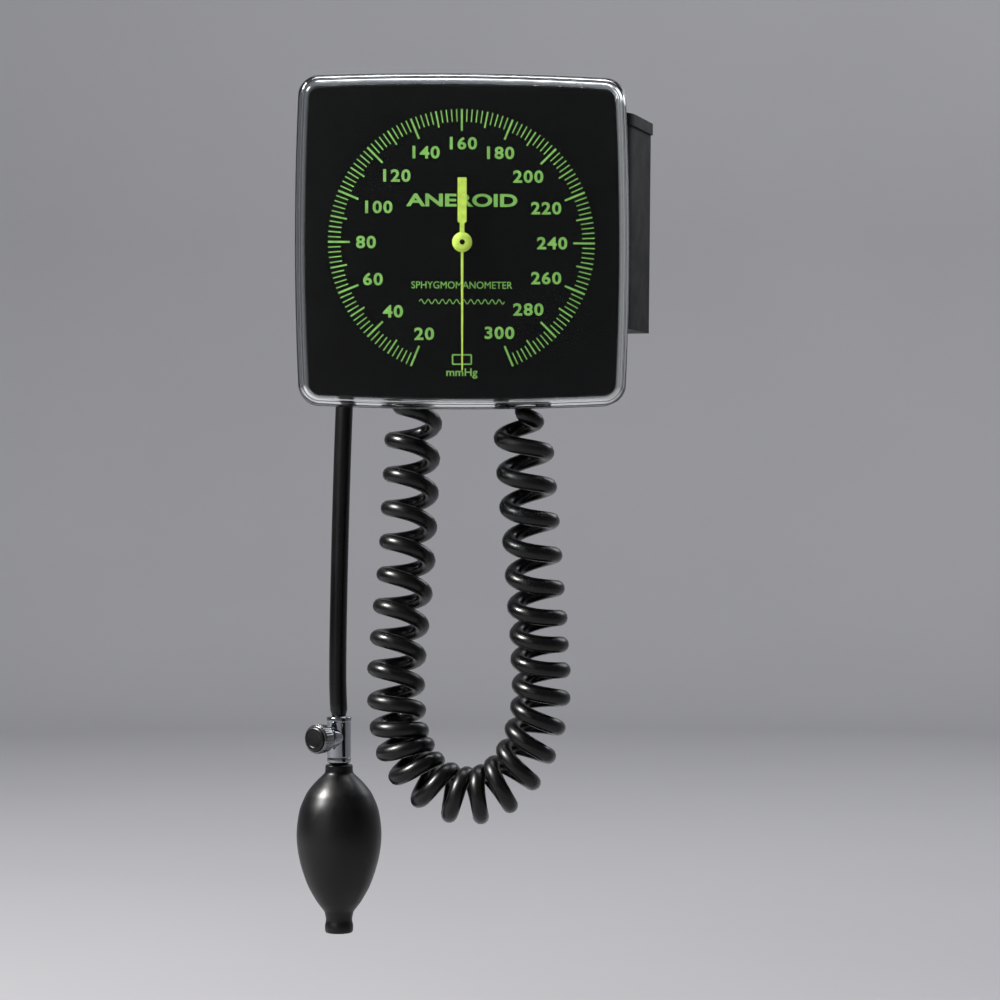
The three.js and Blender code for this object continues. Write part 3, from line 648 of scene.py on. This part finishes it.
COIL_MEAN_RADIUS = 10.75
POINTS_PER_TURN = 24
STRAIGHT_END = 4.5      # hose that runs straight onto each fitting
OPENING = 9.0           # length over which the coil opens to its full size
COIL_WOBBLE = 0.22      # how far the coil's radius wanders


def pitch_at(distance):
    for (near, first), (far, last) in zip(COIL_PITCH, COIL_PITCH[1:]):
        if distance <= far:
            return first + (last - first) * (distance - near) / (far - near)
    return COIL_PITCH[-1][1]


def eased(value):
    value = min(max(value, 0.0), 1.0)
    return value * value * (3 - 2 * value)


def coil_path():
    """A left-handed helix round the route, opening from and closing to a straight end."""
    axis = smooth_route(COIL_ROUTE, 2400)
    total = path_length(axis) / MM
    gap = total / (len(axis) - 1)
    wobble = [RANDOM.uniform(-1, 1) for _ in range(70)]
    side = Vector((1, 0, 0))
    path = []
    turns = turned = 0.0
    for i, centre in enumerate(axis):
        along = (axis[min(i + 1, len(axis) - 1)] - axis[max(i - 1, 0)]).normalized()
        side = (side - along * side.dot(along)).normalized()
        other = along.cross(side)
        walked = gap * i
        if i:
            turns += gap / pitch_at(walked - gap / 2)
        if i not in (0, len(axis) - 1) and turns - turned < 1 / POINTS_PER_TURN:
            continue
        turned = turns
        swell = eased((walked - STRAIGHT_END) / OPENING) * eased((total - walked - STRAIGHT_END) / OPENING)
        beat = 2 * turns
        step = int(beat)
        uneven = wobble[step] + (wobble[step + 1] - wobble[step]) * eased(beat - step)
        reach = (COIL_MEAN_RADIUS + COIL_WOBBLE * uneven) * MM * swell
        angle = math.pi - 2 * math.pi * turns
        path.append(centre + (side * math.cos(angle) + other * math.sin(angle)) * reach)
    return path


def make_coil():
    """The wound hose."""
    path = coil_path()
    mesh = tube("coiled_hose_wound", path, COIL_HOSE_RADIUS * MM, 14)
    coil = piece("coiled_hose_wound", mesh, RUBBER, None, ["coiled_hose"], 60.0)
    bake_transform(coil)
    return coil, path


def make_bulb_hose():
    """Straight hose that hangs from the cuff's other port to the release valve."""
    top = Vector((BULB_PORT.x, BULB_PORT.y, top_of("cuff_port_bulb") - 0.0035))
    route = [top, (BULB_PORT.x, BULB_PORT.y, -0.042), (-0.0702, -0.028, -0.060), (-0.0715, -0.028, -0.078),
             (-0.0731, -0.028, -0.124), (-0.0744, -0.028, -0.176), (-0.0749, -0.028, -0.215),
             (BULB_AXIS.x, BULB_AXIS.y, VALVE_TOP + 0.0002)]
    path = smooth_route(route, 60)
    mesh = tube("bulb_hose_drawn", path, HOSE_RADIUS * MM, 32)
    return piece("bulb_hose_drawn", mesh, RUBBER, "root", ["bulb_hose"], 60.0), path


def make_connectors():
    """Pair of push-and-twist hose connectors between the cuff's short hose and the coil."""
    place = upright(node_centre("cuff_connector"))
    female = turned_ring("cuff_connector_turned", [
        (1.6, -58.0), (5.5, -58.0), (5.5, -56.6), (5.0, -56.2), (5.5, -55.8), (5.5, -54.4), (5.0, -54.0),
        (5.5, -53.6), (5.5, -52.0), (4.4, -51.0), (4.4, -46.3), (1.6, -46.3)], place)
    male = turned_ring("coil_connector_turned", [
        (1.6, -68.0), (4.2, -68.0), (4.2, -64.2), (6.0, -63.0), (6.0, -61.6), (5.4, -61.2), (6.0, -60.8),
        (6.0, -58.3), (1.6, -58.3)], place)
    sleeve = turned_ring("cuff_hose_drawn", [
        (2.0, -46.3), (4.5, -46.3), (4.5, -36.0), (2.0, -36.0)], upright(GAUGE_PORT), 0.3)
    return [
        piece("cuff_connector_turned", female, WHITE, "root", ["cuff_connector"]),
        piece("coil_connector_turned", male, WHITE, "root", ["coil_connector"]),
        piece("cuff_hose_drawn", sleeve, RUBBER, "root", ["cuff_hose"]),
    ]


coil, coil_points = make_coil()
bulb_hose, bulb_hose_points = make_bulb_hose()
connectors = make_connectors()


# ---------- gauge ----------
def rounded_edge(half, front, radius, corner, steps=8):
    """Sections that roll the skirt over into the front face."""
    sections = []
    for step in range(steps + 1):
        angle = step / steps * math.pi / 2
        inset = radius * (1 - math.cos(angle))
        sections.append((front - radius + radius * math.sin(angle), half - inset, max(corner - inset, 2.5)))
    return sections


def make_lens():
    """Clear wrap-around cover: inner skin, rear lip, a groove along the skirt, outer skin."""
    outer = rounded_edge(LENS_HALF, LENS_FRONT, 4.5, 9.0)
    inner = rounded_edge(LENS_HALF - LENS_WALL, LENS_FRONT - LENS_WALL, 3.0, 7.0)
    lip = [
        (LENS_REAR + 0.35, LENS_HALF - 2.3, 6.9), (LENS_REAR, LENS_HALF - 1.9, 7.2),
        (LENS_REAR, LENS_HALF - 0.4, 8.7), (LENS_REAR + 0.4, LENS_HALF, 9.0),
    ]
    groove = [
        (LENS_REAR + 2.2, LENS_HALF, 9.0), (LENS_REAR + 2.6, LENS_HALF - 0.35, 9.0),
        (LENS_REAR + 3.0, LENS_HALF - 0.35, 9.0),
    ]
    mesh = square_loft("lens_moulded", inner[::-1] + lip + groove + outer)
    piece("lens_moulded", mesh, ACRYLIC, "gauge_head", ["lens"], 50.0)


def make_dial():
    chamfer, corner = 0.3, 5.5
    mesh = square_loft("dial_pressed", [
        (DIAL_REAR, DIAL_HALF - chamfer, corner - chamfer), (DIAL_REAR, DIAL_HALF, corner),
        (DIAL_FRONT - chamfer, DIAL_HALF, corner), (DIAL_FRONT, DIAL_HALF - chamfer, corner - chamfer),
    ])
    piece("dial_pressed", mesh, DIAL_FACE, "gauge_head", ["dial_plate"])


DEGREES_PER_MMHG = 1.125
TICK_OUTER = 64.2
PRINT_RISE = 0.06
PRINT_SINK = 0.02
TICKS = {20: (53.8, 0.95), 10: (56.3, 0.75), 2: (58.2, 0.55)}   # spacing: inner radius, width


def dial_direction(pressure):
    """Direction of a mark from the dial's centre, as (x, z); zero is straight down."""
    angle = math.radians(DEGREES_PER_MMHG * pressure)
    return Vector((-math.sin(angle), -math.cos(angle)))


def bar(start, end, width):
    """Raised print bar between two (x, z) points on the dial."""
    start, end = Vector(start), Vector(end)
    across = (end - start).orthogonal().normalized() * width / 2
    points = [(p.x * MM, -depth * MM, p.y * MM)
              for depth in (DIAL_FRONT - PRINT_SINK, DIAL_FRONT + PRINT_RISE)
              for p in (start - across, start + across, end + across, end - across)]
    return points, [(0, 1, 2, 3), (4, 5, 6, 7), (0, 1, 5, 4), (1, 2, 6, 5), (2, 3, 7, 6), (3, 0, 4, 7)]


TYPE_STRETCH = 1.12


def lettering(text, centre, height, weight, width=None):
    """Raised lettering centred on a dial point, stretched to a width or a little wider than its type."""
    curve = bpy.data.curves.new("lettering", "FONT")
    curve.body = text
    curve.align_x = "CENTER"
    curve.extrude = 0.01
    curve.offset = weight
    curve.resolution_u = 5
    mesh = worked_out(added("lettering", curve))
    xs = [v.co.x for v in mesh.vertices]
    ys = [v.co.y for v in mesh.vertices]
    middle = ((min(xs) + max(xs)) / 2, (min(ys) + max(ys)) / 2)
    rise = height / (max(ys) - min(ys))
    stretch = (width / (max(xs) - min(xs)) if width else rise * TYPE_STRETCH, rise)
    points = []
    for v in mesh.vertices:
        x = centre[0] + (v.co.x - middle[0]) * stretch[0]
        z = centre[1] + (v.co.y - middle[1]) * stretch[1]
        depth = DIAL_FRONT + (PRINT_RISE if v.co.z > 0 else -PRINT_SINK)
        points.append((x * MM, -depth * MM, z * MM))
    return points, [tuple(p.vertices) for p in mesh.polygons]


def frame_bars(centre, width, height, line):
    """Four bars round a rectangle."""
    x, z = centre
    corners = [(x - width / 2, z - height / 2), (x + width / 2, z - height / 2),
               (x + width / 2, z + height / 2), (x - width / 2, z + height / 2)]
    return [bar(corners[i], corners[(i + 1) % 4], line) for i in range(4)]


DIGIT_PITCH = 5.1
DIGIT_HEIGHT = 6.0
NUMERAL_REACH = 50.8    # how far from the dial's centre a number ends
WAVE_HALF = 20.5
WAVE_STEPS = 96
WAVE_Z = -28.4
WAVE_RISE = 1.1


def numeral(pressure):
    """The number beside its mark, one evenly spaced digit at a time."""
    text = str(pressure)
    way = dial_direction(pressure)
    half_width = DIGIT_PITCH * len(text) / 2 - 0.4
    centre = way * (NUMERAL_REACH - math.hypot(half_width * way.x, DIGIT_HEIGHT / 2 * way.y))
    digits = []
    for i, digit in enumerate(text):
        x = centre.x + (i - (len(text) - 1) / 2) * DIGIT_PITCH
        digits.append(lettering(digit, (x, centre.y), DIGIT_HEIGHT, 0.028))
    return digits


def make_scale():
    """Marks every 2 mmHg, numbers every 20, and the generic words and signs."""
    parts = []
    for pressure in range(20, 301, 2):
        spacing = next(size for size in TICKS if pressure % size == 0)
        inner, width = TICKS[spacing]
        way = dial_direction(pressure)
        parts.append(bar(way * inner, way * TICK_OUTER, width))
    for pressure in range(20, 301, 20):
        parts += numeral(pressure)
    parts.append(lettering("ANEROID", (0, 20.4), 6.3, 0.03, 53.5))
    parts.append(lettering("SPHYGMOMANOMETER", (0, -20.4), 3.4, 0.0, 48.5))
    wave = [(WAVE_HALF * (2 * i / WAVE_STEPS - 1), WAVE_Z + WAVE_RISE * math.sin(i * math.pi / 4))
            for i in range(WAVE_STEPS + 1)]
    parts += [bar(start, end, 0.42) for start, end in zip(wave, wave[1:])]
    parts += frame_bars((0, -56.2), 9.0, 4.5, 0.65)
    parts.append(lettering("mmHg", (0, -62.9), 4.9, 0.012, 15.0))
    mesh = gathered("scale_print", parts, GAUGE)
    piece("scale_print", mesh, PRINT, "gauge_head", slot="luminous_print")


def flat_piece(outline, rear, front, edge=0.15):
    """Thin plate with softened front edge from an (x, z) outline, in millimetres."""
    points = []
    count = len(outline)
    for depth, shrink in ((rear, 0.0), (front - edge, 0.0), (front, edge)):
        for x, z in outline:
            inward = -Vector((x, z))
            pull = inward.normalized() * min(shrink, 0.3 * inward.length)
            points.append(((x + pull.x) * MM, -depth * MM, (z + pull.y) * MM))
    faces = grid_faces(3, count)
    faces.append(tuple(range(count)))
    faces.append(tuple(range(2 * count, 3 * count)))
    return points, faces


def make_pointer():
    """Needle, hub and broad tail in one blade, with a boss and a rivet on the hub."""
    hub_radius = 4.8
    half_needle, half_neck, half_tail = 0.62, 1.1, 2.15
    low = math.asin(half_needle / hub_radius)
    high = math.asin(half_neck / hub_radius)
    outline = [(0.0, -61.8), (0.35, -61.2)]
    for step in range(17):
        angle = -math.pi / 2 + low + step / 16 * (math.pi - low - high)
        outline.append((hub_radius * math.cos(angle), hub_radius * math.sin(angle)))
    outline += [(half_neck, 9.2), (half_tail, 9.9), (half_tail, 30.8), (half_tail - 0.2, 31.0)]
    outline += [(-x, z) for x, z in reversed(outline[1:])]
    plate = flat_piece(outline, POINTER_REAR, POINTER_REAR + 0.6)
    mesh = gathered("pointer_blade", [plate], GAUGE)
    piece("pointer_blade", mesh, POINTER_PAINT, "pointer_set", ["pointer"])
    hub = GAUGE @ Matrix.Translation((0, -POINTER_REAR * MM, 0)) @ Matrix.Rotation(math.pi / 2, 4, "X")
    boss = lathe("pointer_boss", [
        (0.01, 0.6), (4.3, 0.6), (4.3, 0.8), (4.0, 1.0), (2.0, 1.15), (0.01, 1.15)], hub, 48)
    piece("pointer_boss", boss, POINTER_PAINT, "pointer_set", slot="luminous_print")
    rivet = lathe("pointer_rivet", [
        (0.01, 1.1), (1.3, 1.1), (1.25, 1.3), (0.8, 1.45), (0.01, 1.5)], hub, 32)
    piece("pointer_rivet", rivet, DIAL_FACE, "pointer_set", slot="dial_black")


RIB_HALF = 0.9
RIB_ROOT, RIB_CREST = 8.6, 7.2      # depths of a rib, from inside the case back out to its crest


def make_case():
    """Case back with two fields of stiffening ribs and a rib above and below them."""
    mesh = bevelled(copied("case_back"), 0.5 * MM)
    piece("case_back_moulded", mesh, CASE_BLACK, "gauge_head", ["case_back"], level=True)
    parts = []
    for x in (-44, -36, -28, 28, 36, 44):
        parts.append(box_mesh((x - RIB_HALF, -RIB_ROOT, -38), (x + RIB_HALF, -RIB_CREST, 38)))
    for z in (-46, 46):
        parts.append(box_mesh((-48, -RIB_ROOT, z - RIB_HALF), (48, -RIB_CREST, z + RIB_HALF)))
    parts = [([tuple(c * MM for c in p) for p in points], faces) for points, faces in parts]
    ribs = bevelled(gathered("case_back_ribs", parts, GAUGE), 0.35 * MM)
    piece("case_back_ribs", ribs, CASE_BLACK, "gauge_head", slot="black_plastic")


make_lens()
make_dial()
make_scale()
make_pointer()
make_case()


# ---------- bracket ----------
SCREW_RADIUS = 3.6
SCREW_DEPTH = 1.9
SLOT_HALF_LENGTH = 1.9 * MM
SLOT_HALF_WIDTH = 0.42 * MM
SLOT_DEPTH = 1.2 * MM
YOKE_SCREW_REACH = 4.8 * MM     # from a yoke screw's middle to the top of its head


def cross_head(name, node, outward):
    """Pan-head screw in the place of a plain one, the two slots of its cross, and where they sit."""
    low, high = (Vector(c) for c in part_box(node))
    reach = YOKE_SCREW_REACH if outward == -NORMAL else (high.y - low.y) / 2
    place = ring_place((low + high) / 2 + outward * reach, outward)
    head = lathe(name, softened([
        (0.01, -SCREW_DEPTH), (SCREW_RADIUS, -SCREW_DEPTH), (SCREW_RADIUS, -0.9),
        (SCREW_RADIUS * 0.72, 0.0), (0.01, 0.0)], 0.5, 3), place, 32)
    slots = []
    for turn in (0.0, math.pi / 2):
        along = Matrix.Rotation(turn, 4, "Z")
        points, faces = box_mesh((-SLOT_HALF_LENGTH, -SLOT_HALF_WIDTH, -SLOT_DEPTH),
                                 (SLOT_HALF_LENGTH, SLOT_HALF_WIDTH, 1.0 * MM))
        slots.append(([tuple(along @ Vector(p)) for p in points], faces))
    return head, slots, place


def carve(mesh, cutters, place):
    """The mesh with small boxes cut out of it."""
    holder = added("holder", mesh)
    tools = []
    for i, cutter in enumerate(cutters):
        tool = added("tool", gathered(f"tool_{i}", [cutter], place))
        boolean = holder.modifiers.new("cut", "BOOLEAN")
        boolean.object = tool
        boolean.operation = "DIFFERENCE"
        boolean.solver = "EXACT"
        tools.append(tool)
    result = worked_out(holder)
    for tool in tools:
        bpy.data.objects.remove(tool)
    return result


def make_screws():
    groups = [
        ([f"basket_screw_{i}" for i in range(1, 5)], Vector((0, -1, 0)), "root"),
        ([f"swivel_arm_screw_{i}" for i in (1, 2)], Vector((0, -1, 0)), "root"),
        ([f"yoke_screw_{i}" for i in range(1, 5)], -NORMAL, "gauge_head"),
    ]
    for nodes, outward, body in groups:
        for node in nodes:
            head, slots, place = cross_head(f"{node}_head", node, outward)
            piece(f"{node}_head", carve(head, slots, place), STEEL, body, [node])


def make_bracket():
    basket = bevelled(copied("cuff_basket"), 0.55 * MM)
    piece("cuff_basket_moulded", basket, BASKET_BLACK, "root", ["cuff_basket"], level=True)
    for node, look, body, width in (
            ("wall_plate", STEEL, "root", 0.35), ("swivel_arm", CASE_BLACK, "root", 0.8),
            ("swivel_yoke", CASE_BLACK, "gauge_head", 0.6), ("swivel_nut", STEEL, "gauge_head", 0.3)):
        piece(f"{node}_finished", bevelled(copied(node), width * MM, 3), look, body, [node], level=True)
    pin = lathe("swivel_pin_turned", softened([
        (0.01, -22), (2.4, -22), (3.0, -21.4), (3.0, 15.8), (5.0, 15.8), (5.0, 18.0), (4.2, 19.0),
        (0.01, 19.0)], 0.5), upright(SWIVEL), 48)
    piece("swivel_pin_turned", pin, CHROME, "gauge_head", ["swivel_pin"])
    make_screws()


make_bracket()


# ---------- release valve and bulb ----------
VALVE_PLACE = upright(BULB_AXIS)
KNOB_PLACE = ring_place(KNOB_POINT, KNOB_AXIS)


def make_valve():
    top = VALVE_TOP / MM
    barrel = turned_ring("valve_barrel", [
        (2.0, top), (6.1, top), (6.45, top - 0.5), (6.45, top - 2.2), (6.2, top - 2.5), (6.2, top - 20.6),
        (6.05, top - 20.8), (6.05, top - 21.2), (6.2, top - 21.4), (6.2, top - 23.4), (5.0, top - 24.3),
        (2.0, top - 24.3)], VALVE_PLACE, 0.35, 72)
    piece("valve_barrel", barrel, CHROME, "root", ["valve_body"])
    branch = turned_ring("valve_branch", [
        (2.2, 3.0), (5.4, 3.0), (5.4, 8.7), (5.0, 9.3), (2.2, 9.3)], KNOB_PLACE, 0.35, 48)
    piece("valve_branch", branch, CHROME, "root", slot="chrome")
    seal = lathe("valve_seal_ring", softened([
        (2.4, 9.6), (4.8, 9.6), (4.8, 10.8), (2.4, 10.8)], 0.5, 4, True), KNOB_PLACE, 40, True)
    piece("valve_seal_ring", seal, RUBBER, "root", ["valve_seal"])


KNURLS = 30
KNURL_HEIGHT = 0.36
KNURLED = (12.9, 18.5)      # stretch of the skirt that is knurled


def knurling(radius, height, angle):
    if radius <= 7 or not KNURLED[0] < height < KNURLED[1]:
        return 0.0
    return KNURL_HEIGHT * abs(math.sin(KNURLS / 2 * angle))


def make_knob():
    """Thumb knob: a knurled metal skirt round a black end cap."""
    skirt = lathe("valve_thumb_knob", softened([
        (2.1, 16.3), (2.1, 12.2), (6.9, 12.2), (7.3, 12.6), (7.3, 18.6), (6.9, 19.3), (6.3, 19.3),
        (6.3, 18.9), (0.01, 18.9)], 0.25, 2), KNOB_PLACE, KNURLS * 8, relief=knurling)
    piece("valve_thumb_knob", skirt, SHADED_CHROME, "valve_knob", ["valve_knob"])
    cap = lathe("valve_knob_cap", softened([
        (0.01, 18.92), (6.2, 18.92), (6.2, 19.9), (5.5, 20.35), (4.2, 20.35), (3.9, 20.1),
        (0.01, 20.1)], 0.25, 3), KNOB_PLACE, 64)
    piece("valve_knob_cap", cap, KNOB_BLACK, "valve_knob", slot="black_plastic")


BULB_PROFILE = [   # radius and height below the bulb's top, in millimetres
    (7.1, -1.0), (7.2, -3.0), (7.7, -4.5), (11.4, -8.1), (15.1, -12.3), (17.7, -16.5), (20.7, -24.6),
    (22.0, -37.0), (20.4, -49.5), (16.4, -61.9), (11.9, -70.2), (9.0, -74.2), (7.6, -76.2), (6.8, -80.2),
    (7.3, -83.0), (7.3, -85.4), (7.0, -86.6),
]
BULB_FOOT = -86.9
SEAM_RISE = 0.16            # moulding seam down each side of the bulb
SEAM_ANGLE = 0.6
SEAM_WIDTH = 0.035


def smooth_profile(profile, steps=7):
    points = [Vector((radius, height, 0)) for radius, height in profile]
    return [(p.x, p.y) for p in smooth_route(points, steps * len(points))]


def seam(radius, height, angle):
    if radius <= 6.6:
        return 0.0
    return SEAM_RISE * math.exp(-(math.sin(angle - SEAM_ANGLE) / SEAM_WIDTH) ** 2)


def make_bulb():
    top = BULB_TOP / MM
    outside = [(4.9, 0.0), (6.6, 0.0), (7.0, -0.4)] + smooth_profile(BULB_PROFILE)
    inside = [(6.5, BULB_FOOT), (5.9, BULB_FOOT + 0.5), (5.9, -77.0), (6.4, -74.0), (11.6, -66.0),
              (17.0, -53.4), (19.9, -37.0), (17.8, -22.5), (10.2, -10.1), (4.9, -6.0)]
    profile = [(radius, top + height) for radius, height in outside + inside]
    mesh = lathe("bulb_dipped", profile, VALVE_PLACE, 96, True, seam)
    piece("bulb_dipped", mesh, BULB_RUBBER, "root", ["inflation_bulb"], 50.0)
    foot = bottom_of("intake_valve") / MM
    intake = turned_ring("intake_fitting", [
        (1.6, foot), (5.4, foot), (5.5, foot + 9.2), (3.4, foot + 9.2), (3.4, foot + 4.3),
        (1.6, foot + 2.5)], VALVE_PLACE, 0.3, 48)
    piece("intake_fitting", intake, CHROME, "root", ["intake_valve"])


make_valve()
make_knob()
make_bulb()


# ---------- cuff ----------
CUFF_LAYER = 5.6
CUFF_HALF_WIDTH = 70.0
CUFF_SHARES = [0.0, 0.3, 0.6, 0.82, 0.9, 0.95, 0.985, 1.0]  # of half the width, closer at the bound edge
BINDING_FROM = 0.9          # share of half the width where the binding begins
PILE_UNTIL = 0.6            # share of half the width that the loop patch covers
PILE_STEPS = 40             # steps back from the free end that the loop patch covers
ROLL_TURNS = 2.62
ROLL_STEPS = 125
CORE_HALF_Y, CORE_HALF_Z = 1.2, 24.5
ROLL_GROWTH_Y, ROLL_GROWTH_Z = 11.6, 11.8


def roll_line():
    """Flattened spiral of the rolled cuff, as (y, z) in millimetres, from the core to the free end."""
    centre_y = (CUFF_LOW.y + CUFF_HIGH.y) / 2 / MM
    centre_z = (CUFF_LOW.z + CUFF_HIGH.z) / 2 / MM
    line = []
    for step in range(ROLL_STEPS + 1):
        grown = step / ROLL_STEPS
        angle = 2 * math.pi * ROLL_TURNS * grown + 0.6
        half_y = CORE_HALF_Y + ROLL_GROWTH_Y * grown
        half_z = CORE_HALF_Z + ROLL_GROWTH_Z * grown
        y = half_y * math.copysign(abs(math.cos(angle)) ** 0.55, math.cos(angle))
        z = half_z * math.copysign(abs(math.sin(angle)) ** 0.9, math.sin(angle))
        line.append(Vector((centre_y + y, centre_z + z)))
    return line


def make_cuff():
    """Cuff cloth rolled round its bladder: a padded band with thin bound edges."""
    line = roll_line()
    across = [-share for share in CUFF_SHARES[:0:-1]] + CUFF_SHARES
    points = []
    for i, spot in enumerate(line):     # thin at the bound edges and at both ends, puckered in between
        ahead = line[min(i + 1, len(line) - 1)] - line[max(i - 1, 0)]
        normal = Vector((ahead.y, -ahead.x)).normalized()
        end_share = min(i, len(line) - 1 - i) / 6
        taper = 0.35 + 0.65 * min(1.0, end_share)
        ring = []
        for side in (1, -1):
            for share in (across if side == 1 else reversed(across)):
                edge = max(0.0, 1 - abs(share))
                plump = 0.42 + 0.58 * min(1.0, edge / 0.3) ** 0.5
                pucker = (0.5 + 0.5 * math.sin(19 * share + 1.7 * math.sin(0.21 * i))) ** 2
                half = CUFF_LAYER / 2 * plump * taper * side * (0.86 - 0.2 * pucker * min(1.0, edge / 0.2))
                place = spot + normal * half
                ring.append((share * CUFF_HALF_WIDTH * MM, place.x * MM, place.y * MM))
        points.extend(ring)
    count = 2 * len(across)
    faces = grid_faces(len(line), count)
    faces.append(tuple(range(count)))
    faces.append(tuple(range((len(line) - 1) * count, len(line) * count)))
    mesh = mesh_of("cuff_rolled", points, faces)
    cuff = piece("cuff_rolled", mesh, CLOTH, "root", ["cuff"], 60.0)
    mesh.materials.append(BINDING)
    mesh.materials.append(PILE)
    for face in mesh.polygons:
        share = abs(face.center.x / (CUFF_HALF_WIDTH * MM))
        step = face.index // count
        if share > BINDING_FROM:
            face.material_index = 1
        elif share < PILE_UNTIL and step > len(line) - PILE_STEPS and face.index % count < len(across):
            face.material_index = 2


def make_ports():
    for name, port in (("cuff_port_gauge", GAUGE_PORT), ("cuff_port_bulb", BULB_PORT)):
        mesh = turned_ring(f"{name}_moulded", [
            (1.8, -37.8), (3.4, -37.8), (3.4, -34.2), (4.6, -33.2), (6.0, -32.8), (6.0, -31.3),
            (1.8, -31.3)], upright(port))
        piece(f"{name}_moulded", mesh, RUBBER, "root", [name])


make_cuff()
make_ports()


# ---------- finish of the CAD nodes ----------
for name, node in frame["nodes"].items():
    node.data.materials.clear()
    node.data.materials.append(SLOT_LOOKS[NODE_SLOTS[name]])


# ---------- studio ----------
FLOOR_DROP = 0.12
FLOOR_Z = CAD_BOX[0].z - FLOOR_DROP


def make_studio():
    """Paper floor that curves up into a round wall on every side, far from the object."""
    radius, cove, height = 3.4, 0.8, 3.2
    steps = 12
    profile = [(0.001, 0.0), (radius - cove, 0.0)]
    for step in range(1, steps + 1):
        angle = step / steps * math.pi / 2
        profile.append((radius - cove + cove * math.sin(angle), cove - cove * math.cos(angle)))
    profile.append((radius, height))
    sides = 96
    points = []
    for reach, lift in profile:
        for side in range(sides):
            angle = 2 * math.pi * side / sides
            points.append((reach * math.cos(angle), reach * math.sin(angle), FLOOR_Z + lift))
    mesh = bpy.data.meshes.new("studio_floor")
    mesh.from_pydata(points, [], [tuple(reversed(range(sides))), *grid_faces(len(profile), sides)])
    mesh.materials.append(PAPER)
    mesh.shade_smooth()
    floor = added("studio_floor", mesh)


def area_light(name, place, target, size, power, color):
    data = bpy.data.lights.new(name, "AREA")
    data.shape = "RECTANGLE"
    data.size, data.size_y = size
    data.energy = power
    data.color = color
    light = added(name, data)
    light.location = place
    aim = Vector(target) - Vector(place)
    light.rotation_mode = "QUATERNION"
    light.rotation_quaternion = aim.to_track_quat("-Z", "Y")


LIGHTS = [      # name, place, target, size, power, colour
    ("key", (-1.3, -0.75, 1.2), (0.0, -0.06, -0.15), (0.6, 0.6), 118.0, (1.0, 0.985, 0.965)),
    ("front", (-1.1, -2.2, 0.5), (0.0, -0.06, -0.12), (1.4, 1.4), 5.0, (0.95, 0.97, 1.0)),
    ("backdrop", (0.2, 0.9, 2.4), (0.0, 3.3, 0.5), (2.2, 1.2), 78.0, (0.96, 0.97, 1.0)),
    ("rear", (1.0, 1.5, 0.9), (0.0, -0.06, -0.1), (0.9, 0.9), 7.0, (0.95, 0.97, 1.0)),
]
AIR_COLOR = (0.9, 0.92, 1.0, 1)
AIR_STRENGTH = 0.15


def make_world():
    world = bpy.data.worlds.new("studio")
    world.use_nodes = True
    air = world.node_tree.nodes["Background"]
    air.inputs["Color"].default_value = AIR_COLOR
    air.inputs["Strength"].default_value = AIR_STRENGTH
    bpy.context.scene.world = world


make_studio()
make_world()
for light in LIGHTS:
    area_light(*light)
bpy.context.scene.view_settings.view_transform = "Standard"
